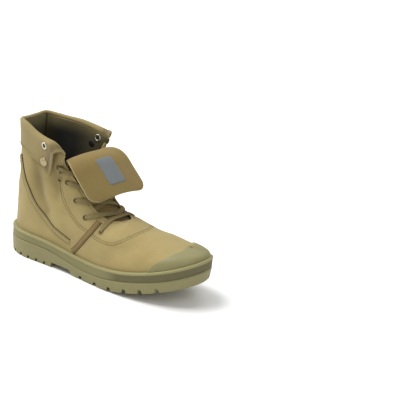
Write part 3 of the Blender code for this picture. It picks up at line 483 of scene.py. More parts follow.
def distance_to_line(points, line):
    """Distance from each point to a polyline, and the share of its length at the nearest place."""
    best, place = np.full(len(points), np.inf), np.zeros(len(points))
    travel = arc_length(line, 0)
    for start, end, done, length in zip(line[:-1], line[1:], travel, np.diff(travel)):
        along = (end - start) / length
        reach = np.clip((points - start) @ along, 0, length)
        away = np.linalg.norm(points - start - reach[:, None] * along, axis=1)
        closer = away < best
        best[closer], place[closer] = away[closer], (done + reach[closer]) / travel[-1]
    return best, place


def crease_lines():
    lines = []
    for side, half, depth, rows in CREASES:
        path = spline(np.linspace(0, 1, len(rows)), rows, np.linspace(0, 1, CREASE_POINTS))
        lines.append((side, half, depth, upper_point(side, path[:, 0], path[:, 1])))
    return lines


CREASE_LINES = crease_lines()


def bell(value, middle, width):
    """1 at the middle, fading to both sides."""
    return np.exp(-((value - middle) / width) ** 2)


def swell(points, phase):
    """Height of the cloth's slow waves; phase moves them apart from one another."""
    turns = [points @ unit(np.array(direction)) * 2 * math.pi / length for length, _, direction in SWELLS]
    return sum(rise * np.sin(turn + phase * length) for turn, (length, rise, _) in zip(turns, SWELLS))


def relief(side, points):
    """Height of the folds at points on the plain upper."""
    height = swell(points, 1.0)
    for line_side, half, depth, line in CREASE_LINES:
        if line_side == side:
            away, place = distance_to_line(points.reshape(-1, 3), line)
            fade = np.sin(np.pi * np.clip(place, CREASE_ENDS, 1 - CREASE_ENDS)) ** 0.5
            height = height + (depth * bell(away, 0.0, half) * fade).reshape(height.shape)
    return height


def shaped(side, foot, rise, lift=0.0):
    """Outer face of the worn upper, with its folds. They fade out at the foxing."""
    foot, rise = np.broadcast_arrays(np.asarray(foot, float), np.asarray(rise, float))
    plain = upper_point(side, foot, rise)
    height = relief(side, plain) * np.clip(rise / FOXING_FADE, 0, 1) + np.asarray(lift, float)
    return plain + upper_normal(side, foot, rise) * height[..., None]


# ---------------------------------------------------------------- grids of points

def resampled(line, spacing):
    """Evenly spaced points along a line."""
    travel = arc_length(line, 0)
    return between(np.linspace(0, travel[-1], int(travel[-1] / spacing)), travel, line)


def from_ends(travel, axis):
    """Distance to the nearer end of a row or column, from the distance to its start."""
    return np.minimum(travel, np.take(travel, [-1], axis=axis) - travel)


def grid_normals(grid):
    return unit(np.cross(np.gradient(grid, axis=0), np.gradient(grid, axis=1)))


def frames_along(path, normals):
    """Unit tangent, normal and sideways direction at each point of a path."""
    tangent = unit(np.gradient(path, axis=0))
    side = unit(np.cross(normals, tangent))
    return tangent, np.cross(tangent, side), side


def rounding(distance, radius, least=0.0):
    """Share of the full height at a distance from a rounded edge."""
    into = 1 - np.clip(distance / radius, 0, 1)
    return np.sqrt(np.clip(1 - into ** 2, least, 1))


def round_angles(count):
    return np.arange(count) * 2 * math.pi / count


def stops(count, length, rim):
    """Stations from 0 to 1 with a few close together near both ends, for rounded edges."""
    near = np.array([0, 0.07, 0.27, 0.60, 1.0]) * rim / length
    inner = np.linspace(near[-1], 1 - near[-1], count)
    return np.concatenate([near[:-1], inner, 1 - near[-2::-1]])


LINE_STEP, LINE_POINTS = 1.5, 160                    # spacing of the points along bands and their painted shadow lines


def surface_path(side, rows, spacing, lift=0.0, sideways=0.0):
    """Evenly spaced points along a line over the worn upper, with the surface's normals."""
    path = spline(np.linspace(0, 1, len(rows)), rows, np.linspace(0, 1, LINE_POINTS))
    travel = arc_length(shaped(side, path[:, 0], path[:, 1]), 0)
    at = np.linspace(0, travel[-1], max(int(round(travel[-1] / spacing)), 2) + 1)
    feet, rises = between(at, travel, path).T
    points, normals = shaped(side, feet, rises, lift), upper_normal(side, feet, rises)
    _, _, across = frames_along(points, normals)
    return points + across * sideways, normals


# ---------------------------------------------------------------- meshes

def to_world(points):
    return (np.asarray(points, float) + ORIGIN_SHIFT) * MM


def add_object(name, data):
    made = bpy.data.objects.new(name, data)
    bpy.context.scene.collection.objects.link(made)
    return made


def piece(name, points, faces, finish, replaced=(), slot=None, uv=None, tone=None, sharp_angle=60):
    """A visible mesh that rides on the boot. Points are in table millimetres, uv in millimetres of cloth."""
    mesh = bpy.data.meshes.new(name)
    mesh.from_pydata(to_world(points).tolist(), [], [tuple(int(k) for k in face) for face in faces])
    mesh.update()
    mesh.shade_smooth()
    mesh.set_sharp_from_angle(angle=math.radians(sharp_angle))
    mesh.materials.append(finish)
    lay_tone(mesh, np.ones(len(mesh.vertices)) if tone is None else tone)
    if uv is not None:
        corner = np.zeros(len(mesh.loops), np.int32)
        mesh.loops.foreach_get("vertex_index", corner)
        layer = mesh.uv_layers.new(name="UVMap")
        layer.data.foreach_set("uv", np.asarray(uv, float).reshape(-1, 2)[corner].astype(np.float32).ravel())
    made = add_object(name, mesh)
    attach(made, "root")
    if replaced:
        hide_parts(*replaced)
    return made


def lay_tone(mesh, tone):
    """Shade of each point, which the materials multiply their colour by: mostly painted shade and painted
    highlights, with a few dark lines at joints.
    """
    values = np.asarray(tone, np.float32).reshape(-1)
    mesh.attributes.new("tone", "FLOAT", "POINT").data.foreach_set("value", values)


def quads(rows, columns, offset=0, flip=False):
    number = np.arange(offset, offset + rows * columns).reshape(rows, columns)
    return grid_faces(number, flip)


def grid_faces(number, flip=False):
    """Faces between the neighbours in a grid of numbered points."""
    corners = [number[:-1, :-1], number[1:, :-1], number[1:, 1:], number[:-1, 1:]]
    loop = np.stack(corners, axis=-1).reshape(-1, 4)
    return (loop[:, ::-1] if flip else loop).tolist()


def ring_faces(rings, sides, start=0, looped=False, open_section=False):
    """Faces between rings of points, with a cap at both ends unless the last ring meets the first."""
    faces = []
    for k in range(rings if looped else rings - 1):
        a, b = start + k * sides, start + (k + 1) % rings * sides
        for j in range(sides - 1 if open_section else sides):
            n = (j + 1) % sides
            faces.append((a + j, b + j, b + n, a + n))
    if not looped:
        last = start + (rings - 1) * sides
        faces += [tuple(range(start, start + sides)), tuple(range(last + sides - 1, last - 1, -1))]
    return faces


def welded(grids, shared, *layers):
    """Points and faces of a lateral and a medial grid, joined where shared, and each layer's values."""
    own = ~shared
    number = {LATERAL: np.arange(shared.size).reshape(shared.shape)}
    number[MEDIAL] = number[LATERAL].copy()
    number[MEDIAL][own] = shared.size + np.arange(own.sum())
    middle = (grids[LATERAL] + grids[MEDIAL]) / 2
    joined = {LATERAL: np.where(shared[..., None], middle, grids[LATERAL]), MEDIAL: grids[MEDIAL]}
    values = []
    for layer in (joined, *layers):
        first = layer[LATERAL]
        values.append(np.concatenate([first.reshape(-1, *first.shape[2:]), layer[MEDIAL][own]]))
    return values[0], grid_faces(number[LATERAL]) + grid_faces(number[MEDIAL], flip=True), *values[1:]


THIN_EDGE = 0.0025        # square of the share of a sheet's thickness that is left at its very edge


def sheet(name, middle, thickness, finish, tone=1.0, **facts):
    """Closed sheet with rounded edges around a grid of points."""
    rows, columns = middle.shape[:2]
    normal = grid_normals(middle)
    along, across = arc_length(middle, 0), arc_length(middle, 1)
    edge = np.minimum(from_ends(across, 1), from_ends(along, 0))
    thickness = np.broadcast_to(np.asarray(thickness, float), (rows, columns))
    half = (thickness / 2 * rounding(edge, thickness / 2, THIN_EDGE))[..., None]
    points = np.concatenate([(middle + way * normal * half).reshape(-1, 3) for way in (1, -1)])
    under = rows * columns
    faces = quads(rows, columns) + quads(rows, columns, under, flip=True)
    number = np.arange(under).reshape(rows, columns)
    rim = np.concatenate([number[:, 0], number[-1, 1:], number[-2::-1, -1], number[0, -2:0:-1]]).tolist()
    faces += [(b, a, a + under, b + under) for a, b in zip(rim, rim[1:] + rim[:1])]
    uv = np.stack([along, across], axis=-1).reshape(-1, 2)
    tones = np.tile(np.broadcast_to(tone, (rows, columns)).reshape(-1), 2)
    return piece(name, points, faces, finish, uv=np.tile(uv, (2, 1)), tone=tones, **facts)


def tube(name, path, radius, finish, sides=10):
    """Round cord along a path."""
    tangent = unit(np.gradient(path, axis=0))
    normal = np.zeros_like(path)
    start = np.cross(tangent[0], [0.3, 0.5, 0.81])
    for k in range(len(path)):
        start = unit(start - tangent[k] * (start @ tangent[k]))
        normal[k] = start
    side = np.cross(tangent, normal)
    turn = round_angles(sides)
    ring = normal[:, None] * np.cos(turn)[None, :, None] + side[:, None] * np.sin(turn)[None, :, None]
    points = (path[:, None] + ring * radius).reshape(-1, 3)
    uv = np.column_stack([np.repeat(arc_length(path, 0), sides), np.tile(turn, len(path))])
    return piece(name, points, ring_faces(len(path), sides), finish, uv=uv)


STITCH_PITCH, STITCH_LENGTH, STITCH_RADIUS, STITCH_SIDES = 3.0, 2.1, 0.34, 5
STITCH_SHAPE = (
    # place along the stitch, thickness, height over the cloth, as shares of its length and radius
    (-0.5, 0.2, -0.7),
    (-0.3, 1.0, 0.25),
    (0.3, 1.0, 0.25),
    (0.5, 0.2, -0.7),
)


def stitches(name, rows, finish, radius=STITCH_RADIUS):
    """Short threads along several (points, normals) paths, in one mesh."""
    turn = round_angles(STITCH_SIDES)
    points, faces = [], []
    for path, normals in rows:
        for centre, tangent, normal, side in zip(path, *frames_along(path, normals)):
            faces += ring_faces(len(STITCH_SHAPE), STITCH_SIDES, len(points))
            for along, thick, height in STITCH_SHAPE:
                spot = centre + tangent * along * STITCH_LENGTH + normal * height * radius
                points += [spot + (normal * math.cos(a) + side * math.sin(a)) * thick * radius for a in turn]
    return piece(name, points, faces, finish)


def add_wall(made, thickness):
    """Thickens a skin inwards."""
    wall = made.modifiers.new("wall", "SOLIDIFY")
    wall.thickness = thickness * MM
    wall.offset = -1
    return wall


def lathe(name, profile, centre, normal, finish, sides=32, closed=False, **facts):
    """Turned piece: a closed ring section, or an outline from axis to axis."""
    turn = np.array(Vector(normal).to_track_quat("Z", "Y").to_matrix())
    radius, height = np.array(profile).T
    angle = round_angles(sides)[:, None]
    rows = np.stack(np.broadcast_arrays(radius * np.cos(angle), radius * np.sin(angle), height), axis=-1)
    points = (np.asarray(centre) + rows @ turn.T).reshape(-1, 3)
    faces = ring_faces(sides, len(profile), looped=True, open_section=not closed)
    made = piece(name, points, faces, finish, sharp_angle=50, **facts)
    shell = bmesh.new()
    shell.from_mesh(made.data)
    bmesh.ops.remove_doubles(shell, verts=shell.verts, dist=1e-6)
    bmesh.ops.dissolve_degenerate(shell, edges=shell.edges, dist=1e-7)
    bmesh.ops.recalc_face_normals(shell, faces=shell.faces)
    shell.to_mesh(made.data)
    shell.free()
    return made


# ---------------------------------------------------------------- materials

def new_material(name, skin):
    """A material, its nodes and its shader, whose plain settings are in skin."""
    made = bpy.data.materials.new(name)
    made.use_nodes = True
    tree = made.node_tree
    shader = tree.nodes["Principled BSDF"]
    for socket, value in skin.items():
        shader.inputs[socket].default_value = value
    return made, tree, shader


def add(tree, kind, inputs=(), **settings):
    """A node with its settings, and its inputs as values or as sockets to link from."""
    node = tree.nodes.new(kind)
    for key, value in settings.items():
        setattr(node, key, value)
    for key, value in dict(inputs).items():
        if isinstance(value, bpy.types.NodeSocket):
            tree.links.new(value, node.inputs[key])
        else:
            node.inputs[key].default_value = value
    return node


def math_node(tree, operation, first, second=0.0):
    return add(tree, "ShaderNodeMath", {0: first, 1: second}, operation=operation).outputs[0]


def coordinates(tree):
    return add(tree, "ShaderNodeTexCoord").outputs


def split(tree, vector):
    return add(tree, "ShaderNodeSeparateXYZ", {"Vector": vector}).outputs


def wave(tree, value, length):
    turned = math_node(tree, "MULTIPLY", value, 2 * math.pi / length)
    return math_node(tree, "SINE", turned)


def times(tree, vector, factors):
    return add(tree, "ShaderNodeVectorMath", {0: vector, 1: factors}, operation="MULTIPLY").outputs["Vector"]


def noise(tree, vector, scale, detail=3.0, roughness=0.6):
    settings = {"Vector": vector, "Scale": scale, "Detail": detail, "Roughness": roughness}
    return add(tree, "ShaderNodeTexNoise", settings).outputs["Fac"]


def span(tree, value, low, high, start=0.0, end=1.0, kind="LINEAR"):
    """Carries start..end to low..high."""
    settings = {"Value": value, "From Min": start, "From Max": end, "To Min": low, "To Max": high}
    return add(tree, "ShaderNodeMapRange", settings, interpolation_type=kind).outputs["Result"]


def tinted(tree, color, shares):
    """A colour times several shares."""
    value = shares[0]
    for other in shares[1:]:
        value = math_node(tree, "MULTIPLY", value, other)
    return add(tree, "ShaderNodeVectorMath", {0: color, "Scale": value}, operation="SCALE").outputs["Vector"]


def painted_shade_and_marks(tree):
    """Shade stored on the mesh's points: mostly painted shade and painted highlights, with a few dark joint
    lines and a darker strip above the foxing.
    """
    return add(tree, "ShaderNodeAttribute", attribute_name="tone").outputs["Fac"]


def emboss(tree, shader, height, strength, distance):
    raised = add(tree, "ShaderNodeBump", {"Height": height, "Strength": strength, "Distance": distance})
    tree.links.new(raised.outputs["Normal"], shader.inputs["Normal"])


CLOTH_SKIN = {"Roughness": 0.92, "Specular IOR Level": 0.25, "Sheen Weight": 0.12, "Sheen Roughness": 0.5}
RUBBER_SKIN = {"Specular IOR Level": 0.35}
METAL_SKIN = {"Metallic": 0.9}
THREAD_SKIN = {"Roughness": 0.8}
BRAID_SKIN = {"Roughness": 0.9, "Specular IOR Level": 0.25}
BRAID_PITCH = 1.7         # length of a chevron of the lace


def cloth(name, color, weave=1.0, mottle=0.10, warm=(1.0, 1.0, 1.0)):
    """Woven cotton: threads each way, streaks along them, and slow changes of shade."""
    made, tree, shader = new_material(name, CLOTH_SKIN)
    place = coordinates(tree)
    ways = split(tree, place["UV"])
    threads = math_node(tree, "MULTIPLY", wave(tree, ways["X"], weave), wave(tree, ways["Y"], weave))
    slow = noise(tree, place["Object"], 28.0, 4.0)
    fine = noise(tree, place["Object"], 420.0, 2.0)
    streak = noise(tree, times(tree, place["UV"], (0.12, 1.4, 1.0)), 1.0, 3.0)
    shares = [painted_shade_and_marks(tree), span(tree, slow, 1 - mottle, 1 + mottle), span(tree, fine, 0.90, 1.10)]
    shares += [span(tree, streak, 0.93, 1.07), span(tree, threads, 0.97, 1.03)]
    base = tinted(tree, color, shares)
    blotch = noise(tree, place["Object"], 11.0, 3.0)
    mixed = add(tree, "ShaderNodeMix", {"Factor": blotch}, data_type="VECTOR")
    tree.links.new(base, mixed.inputs["A"])
    tree.links.new(times(tree, base, warm), mixed.inputs["B"])
    tree.links.new(mixed.outputs["Result"], shader.inputs["Base Color"])
    raised = math_node(tree, "MULTIPLY", threads, 0.5)
    fuzz = math_node(tree, "MULTIPLY", fine, 1.2)
    emboss(tree, shader, math_node(tree, "ADD", raised, fuzz), 0.35, 0.0004)
    return made


def rubber(name, color, roughness=0.55, grain=0.25):
    """Moulded rubber: a matt skin with faint clouds, dust and scuffs."""
    made, tree, shader = new_material(name, RUBBER_SKIN)
    place = coordinates(tree)["Object"]
    clouds = noise(tree, place, 34.0, 4.0)
    dust = noise(tree, place, 620.0, 2.0)
    scuff = noise(tree, times(tree, place, (40.0, 40.0, 260.0)), 1.0, 5.0, 0.7)
    shares = [painted_shade_and_marks(tree), span(tree, clouds, 0.93, 1.07), span(tree, dust, 0.94, 1.06)]
    shares.append(span(tree, scuff, 0.95, 1.05))
    tree.links.new(tinted(tree, color, shares), shader.inputs["Base Color"])
    tree.links.new(span(tree, clouds, roughness - 0.08, roughness + 0.12), shader.inputs["Roughness"])
    emboss(tree, shader, dust, grain, 0.0002)
    return made


def metal(name, color, roughness=0.35):
    made, tree, shader = new_material(name, METAL_SKIN)
    cloud = noise(tree, coordinates(tree)["Object"], 300.0, 3.0)
    tree.links.new(tinted(tree, color, [span(tree, cloud, 0.85, 1.1)]), shader.inputs["Base Color"])
    tree.links.new(span(tree, cloud, roughness - 0.08, roughness + 0.15), shader.inputs["Roughness"])
    return made


def thread(name, color):
    made, tree, shader = new_material(name, THREAD_SKIN)
    twist = noise(tree, coordinates(tree)["Object"], 900.0, 2.0)
    tree.links.new(tinted(tree, color, [span(tree, twist, 0.75, 1.25)]), shader.inputs["Base Color"])
    return made


def braid(name, color):
    """Flat braided cotton: chevrons along the lace."""
    made, tree, shader = new_material(name, BRAID_SKIN)
    place = coordinates(tree)
    ways = split(tree, place["UV"])
    bend = math_node(tree, "ABSOLUTE", ways["Y"])
    chevrons = wave(tree, math_node(tree, "ADD", ways["X"], bend), BRAID_PITCH)
    fine = noise(tree, place["Object"], 700.0, 2.0)
    shares = [painted_shade_and_marks(tree), span(tree, chevrons, 0.90, 1.08), span(tree, fine, 0.85, 1.15)]
    tree.links.new(tinted(tree, color, shares), shader.inputs["Base Color"])
    emboss(tree, shader, chevrons, 0.4, 0.0003)
    return made


# The lining gets light near the collar and towards both ends of the shaft. All in metres from the frame's
# origin.
LINING_MIDDLE = 0.1025    # how far behind the origin the darkest part of the shaft is
LINING_DARK, LINING_LIGHT = 0.164, 0.189             # heights where the lining is darkest and lightest
LINING_NEAR, LINING_FAR = 0.012, 0.045               # distances along the boot from the darkest part


def lining(name, color):
    """Inner cloth, darker further down the shaft, where little light comes."""
    made = cloth(name, color, mottle=0.15)
    tree = made.node_tree
    base = tree.nodes["Principled BSDF"].inputs["Base Color"]
    ways = split(tree, coordinates(tree)["Object"])
    height = span(tree, ways["Z"], 0.03, 1.0, LINING_DARK, LINING_LIGHT, "SMOOTHSTEP")
    away = math_node(tree, "ABSOLUTE", math_node(tree, "ADD", ways["X"], LINING_MIDDLE))
    light = math_node(tree, "ADD", height, span(tree, away, 0.0, 0.45, LINING_NEAR, LINING_FAR))
    tree.links.new(tinted(tree, base.links[0].from_socket, [light]), base)
    return made


CANVAS = cloth("canvas", (0.314, 0.256, 0.109), warm=(1.05, 0.96, 0.86))
# the cuff's canvas is a darker copy of the canvas, for painted shade
CUFF_CANVAS = cloth("cuff_canvas", (0.255, 0.206, 0.089), warm=(1.04, 0.97, 0.90))
# the flap's canvas is warmer than the canvas, and also darkened with painted shade
FLAP_CANVAS = cloth("flap_canvas", (0.202, 0.151, 0.052), warm=(1.06, 0.95, 0.84))
# the lining's base colour is a darker copy of the canvas, for painted shade inside the boot
LINING = lining("lining", (0.150, 0.125, 0.052))
TAPE = cloth("tape", (0.213, 0.144, 0.053), weave=0.8)
PIPING = cloth("piping", (0.392, 0.326, 0.162), weave=0.8)
PATCH = cloth("patch_cloth", (0.153, 0.167, 0.171), weave=0.7)
LACE = braid("lace_cotton", (0.216, 0.168, 0.071))
DARK_THREAD = thread("dark_thread", (0.030, 0.018, 0.007))
SOFT_THREAD = thread("soft_thread", (0.095, 0.070, 0.034))
SHADE = thread("hole_shade", (0.012, 0.010, 0.006))
OUTSOLE_RUBBER = rubber("outsole_rubber", (0.214, 0.193, 0.084))
FOXING_RUBBER = rubber("foxing_rubber", (0.188, 0.170, 0.072), roughness=0.6)
CAP_RUBBER = rubber("cap_rubber", (0.205, 0.185, 0.078), roughness=0.42, grain=0.15)
# a lighter copy of the cap's rubber: painted highlight along the cap's lip
LIP_RUBBER = rubber("lip_rubber", (0.294, 0.264, 0.125), roughness=0.5)
EYELET_METAL = metal("eyelet_metal", (0.155, 0.111, 0.059))
GROMMET_METAL = metal("grommet_metal", (0.539, 0.500, 0.392), 0.3)
BRASS = metal("snap_brass", (0.363, 0.294, 0.161), 0.35)
DARK_METAL = metal("dark_metal", (0.060, 0.055, 0.060), 0.4)


# ---------------------------------------------------------------- upper

COLLAR_COLUMNS, THROAT_COLUMNS, RIDGE_COLUMNS, UPPER_RISES = 90, 66, 60, 92
THIN_TOE = (0.90, 0.60)   # foot and rise beyond which the cloth under the toe cap is shaved thin
THIN_SHARE = 0.04         # of the wall that is left there
FOLD_SHADE, DEEPEST, HIGHEST = 0.07, -3.2, 1.5       # painted shade and light per millimetre of a fold's height, darker in troughs and lighter on ridges, between two heights
FOXING_DARKENING, FOXING_DARK_RISE = 0.12, 0.02                   # how much darker the cloth is just above the foxing, and the rise over which that fades
# Feet of the sharp fold behind on the inner side and of the shaft's front, which lies in shade; both are
# darkened with painted shade
BACK_CORNER, CORNER_WIDTH, CORNER_SHADE = 0.077, 0.005, 0.8
SHAFT_FRONT, SHAFT_WIDTH, SHAFT_SHADE = 0.225, 0.075, 0.23


def upper_tone(side, feet, rises, height):
    """Shade of the cloth: painted shade in its folds and painted light on their ridges, darker just above the
    foxing, and painted shade in the sharp fold behind on the inner side and in front of the shaft.
    """
    tone = 1 + FOLD_SHADE * np.clip(height, DEEPEST, HIGHEST)
    tone = tone - FOXING_DARKENING * np.exp(-np.clip(rises, 0, 1) / FOXING_DARK_RISE)
    if side == MEDIAL:
        corner = bell(feet, BACK_CORNER, CORNER_WIDTH) * np.clip((rises - 0.5) / 0.2, 0, 1)
        tone = tone * (1 - CORNER_SHADE * corner)
    front = bell(feet, SHAFT_FRONT, SHAFT_WIDTH) * np.clip((rises - 0.25) / 0.35, 0, 1)
    return tone * (1 - SHAFT_SHADE * front)


def make_upper():
    """The hollow upper: vamp, quarters and shaft in one skin with its wall inside."""
    feet = np.concatenate([
        np.linspace(0, CORNER, COLLAR_COLUMNS, endpoint=False),
        np.linspace(CORNER, THROAT_END, THROAT_COLUMNS, endpoint=False),
        np.linspace(THROAT_END, 1, RIDGE_COLUMNS + 1),
    ])
    rises = np.concatenate([[-1.0, -0.5], np.linspace(0, 1, UPPER_RISES)])
    shared = np.zeros((len(feet), len(rises)), bool)
    shared[[0, -1]] = True
    shared[COLLAR_COLUMNS + THROAT_COLUMNS:, -1] = True
    grids, tones, uvs = {}, {}, {}
    for side in (LATERAL, MEDIAL):
        grids[side] = shaped(side, feet[:, None], rises)
        plain = upper_point(side, feet[:, None], rises)
        tones[side] = upper_tone(side, feet[:, None], rises, relief(side, plain))
        uvs[side] = np.stack(np.broadcast_arrays(arc_length(plain, 0)[:, :1], arc_length(plain, 1)), axis=-1)
    toe = np.outer(feet > THIN_TOE[0], rises > THIN_TOE[1])
    points, faces, tone, uv, thin = welded(grids, shared, tones, uvs, {LATERAL: toe, MEDIAL: toe})
    upper = piece("boot_upper", points, faces, CANVAS, replaced=["upper"], slot="canvas_upper",
                  uv=uv, tone=tone)
    upper.data.materials.append(LINING)
    wall = add_wall(upper, WALL)
    wall.material_offset = 1
    wall.material_offset_rim = 0
    group = upper.vertex_groups.new(name="wall")
    group.add(list(range(len(points))), 1.0, "REPLACE")
    group.add(np.flatnonzero(thin).tolist(), THIN_SHARE, "REPLACE")
    wall.vertex_group = "wall"


def throat_line(lift):
    """Points round the throat's edge, lateral corner to medial corner."""
    feet = np.linspace(CORNER, THROAT_END, 80)
    lateral, medial = (shaped(side, feet, 1.0, lift) for side in (LATERAL, MEDIAL))
    return resampled(np.concatenate([lateral, medial[-2::-1]]), 1.2)


EYESTAY_FRONT = ((0.586, 0.400), (0.630, 0.513), (0.672, 0.763), (0.708, 0.985))
EYESTAY = {
    LATERAL: ((0.298, 0.76), (0.318, 0.700), (0.344, 0.588), (0.376, 0.500), (0.426, 0.450), (0.466, 0.478),
              (0.530, 0.462)) + EYESTAY_FRONT,
    MEDIAL: ((0.298, 0.76), (0.320, 0.680), (0.346, 0.575), (0.378, 0.490), (0.428, 0.440), (0.470, 0.465),
             (0.530, 0.450)) + EYESTAY_FRONT,
}
ROW_GAP = 1.5             # half the distance between two rows of stitches
STITCH_SEAT = 0.05        # of the stitches over the cloth
THROAT_THREAD = 0.28      # radius of the finer thread round the throat
THROAT_ROW = [(foot, 0.945) for foot in np.linspace(0.31, 0.600, 14)]


def make_upper_trim():
    """Bound edge of the throat, and the rows of stitches round it and round the eyestay."""
    tube("throat_binding", throat_line(-WALL / 2), WALL / 2 + 0.15, CANVAS, sides=12)
    double, single = [], []
    for side in (LATERAL, MEDIAL):
        for sideways in (-ROW_GAP, ROW_GAP):
            double.append(surface_path(side, EYESTAY[side], STITCH_PITCH, STITCH_SEAT, sideways))
        single.append(surface_path(side, THROAT_ROW, STITCH_PITCH, STITCH_SEAT))
    stitches("eyestay_stitches", double, DARK_THREAD)
    stitches("throat_stitches", single, DARK_THREAD, radius=THROAT_THREAD)


BAND_COLUMNS, BAND_THICK, BAND_CROWN = 7, 1.0, 0.25
BAND_SEAT, BAND_STITCH_SEAT = 0.25, 0.45             # of a band over the cloth, of its stitches over the band
SEAM_WIDTH, TAPE_WIDTH = 6.5, 7.6
SEAM_SHADOW, TAPE_SHADOW = (0.55, 3.7), (0.45, 4.1)      # dark round line of painted shadow along one edge: radius, distance from the middle of the band
BAND_ROW = 0.30           # share of a band's width from its middle to each row of stitches


def make_band(part, side, rows, width, finish):
    """Cloth band along a line on the upper, in place of one of the part's, with two rows of stitches."""
    name = f"boot_{part}"
    path, normals = surface_path(side, rows, LINE_STEP, BAND_SEAT)
    _, normal, across = frames_along(path, normals)
    shares = stops(BAND_COLUMNS, width, BAND_THICK / 2) - 0.5
    crown = (1 - (2 * shares) ** 2) * BAND_CROWN
    middle = path[:, None] + across[:, None] * (shares * width)[None, :, None]
    middle = middle + normal[:, None] * (BAND_THICK / 2 + crown)[None, :, None]
    sheet(name, middle, BAND_THICK, finish, replaced=[part], slot="canvas_tape")
    threads, over = [], BAND_THICK + BAND_STITCH_SEAT
    for share in (-BAND_ROW, BAND_ROW):
        line, line_normals = surface_path(side, rows, STITCH_PITCH, over, share * width)
        threads.append((line[1:-1], line_normals[1:-1]))
    stitches(f"{name}_stitches", threads, DARK_THREAD)


# Dark round line along one edge of a band: painted shadow
def make_shadow_line(name, side, rows, radius, sideways):
    path, _ = surface_path(side, rows, LINE_STEP, radius, sideways)
    tube(name, path, radius, DARK_THREAD, sides=8)


def make_bands():
    """The seam behind each quarter and the tape on each side, with a dark round line of painted shadow along
    one edge.
    """
    for side in (LATERAL, MEDIAL):
        name, seam, tape = SIDE_NAMES[side], HEEL_SEAM[side], SIDE_TAPE[side]
        make_band(f"heel_seam_{name}", side, seam, SEAM_WIDTH, CANVAS)
        make_band(f"side_tape_{name}", side, tape, TAPE_WIDTH, TAPE)
        make_shadow_line(f"heel_seam_shadow_{name}", side, seam, SEAM_SHADOW[0], -side * SEAM_SHADOW[1])
        make_shadow_line(f"side_tape_shadow_{name}", side, tape, TAPE_SHADOW[0], side * TAPE_SHADOW[1])


# ---------------------------------------------------------------- rubber

CAP_ON_RIDGE = 0.965      # foot from which the cap also covers the ridge
CAP_OUTER, CAP_BASE = 1.6, 0.1                       # height over the cloth, inside and at the rim
CAP_ROUND = 1.5           # width of the cap's rounded edge
CAP_COLUMNS, CAP_RIDGE_COLUMNS, CAP_ROWS = 70, 14, 34
CAP_FOOT = 0.004          # rise at which the cap starts, inside the foxing
CAP_FINE = 0.1            # share of the cap's height over which its rows draw together
CAP_NEAR = (0.85, 0.7, 0.55, 0.42, 0.3, 0.2, 0.12, 0.05, 0)          # their distances to the edge
CAP_WALL, LIP_RADIUS, LIP_SMOOTHING = 0.5, 0.55, 12


def make_toe_cap():
    """Cap over the toe with a thick rounded edge and the lip along it, both lightened as painted highlights.
    """
    feet = np.linspace(CAP_START, CAP_ON_RIDGE, CAP_COLUMNS)
    feet = np.concatenate([feet, np.linspace(CAP_ON_RIDGE, 1, CAP_RIDGE_COLUMNS)[1:]])
    on_ridge = feet >= CAP_ON_RIDGE
    table = np.array(CAP_EDGE)
    top = np.where(on_ridge, 1.0, np.minimum(spline(table[:, 0], table[:, 1], feet), 1.0))
    shares = np.concatenate([np.linspace(0, 1 - CAP_FINE, CAP_ROWS), 1 - CAP_FINE * np.array(CAP_NEAR)])
    rises = CAP_FOOT + (top[:, None] - CAP_FOOT) * shares
    shared = np.zeros(rises.shape, bool)
    shared[-1] = True
    shared[on_ridge, -1] = True
    grids, tones = {}, {}
    for side in (LATERAL, MEDIAL):
        base = upper_point(side, feet[:, None], rises)
        along = arc_length(base, 1)
        from_rim = np.minimum(along[:, -1:] - along, arc_length(base, 0))
        from_apex = np.linalg.norm(base - base[CAP_COLUMNS - 1, -1], axis=-1)
        near = np.where(on_ridge[:, None], from_apex, from_rim)
        lift = CAP_BASE + (CAP_OUTER - CAP_BASE) * rounding(near, CAP_ROUND)
        grids[side] = base + upper_normal(side, feet[:, None], rises) * lift[..., None]
        # painted highlight along the cap's rounded edge
        tones[side] = 1.0 + 0.10 * np.exp(-near / 2.5)
    points, faces, tone = welded(grids, shared, tones)
    cap = piece("boot_toe_cap", points, faces, CAP_RUBBER, replaced=["toe_cap"], slot="rubber_cap", tone=tone)
    add_wall(cap, CAP_WALL)
    edge = np.concatenate([grids[LATERAL][:CAP_COLUMNS, -1], grids[MEDIAL][CAP_COLUMNS - 2::-1, -1]])
    for _ in range(LIP_SMOOTHING):
        edge[1:-1] = (edge[:-2] + 2 * edge[1:-1] + edge[2:]) / 4
    tube("toe_cap_lip", edge[::3], LIP_RADIUS, LIP_RUBBER, sides=8)


RIB_SPACING, RIB_HEIGHT, RIB_LEAN, SIDE_GRAIN = 2.6, 0.5, 0.55, 0.2
FOXING_STEP = 0.44        # spacing of the columns where the ribs are
GRAINED, GRAINED_COLUMNS = 0.30, 70                  # foot up to which the columns are further apart
FOXING_INNER = FOOT_INSET - 0.1
JOIN, UNDER_LIP = 0.4, -3.4                          # heights of the dark line at the joint with the outsole, from the seam, and of the painted shade under the lip, from the band
FOXING_SECTION = (
    # inset from the sole's outline, share of the band's height, height over that
    (FOXING_INNER, 0.0, JOIN), (0.9, 0.0, JOIN), (0.35, 0.0, 0.9),
    *((0.35, share, 0.0) for share in np.linspace(0.12, 0.70, 9)),
    (0.45, 1.0, UNDER_LIP), (0.05, 1.0, -3.0), (-0.15, 1.0, -2.4), (-0.2, 1.0, -1.6), (-0.05, 1.0, -0.8),
    (0.35, 1.0, -0.35), (0.9, 1.0, 0.0), (FOXING_INNER, 1.0, 0.1),
)


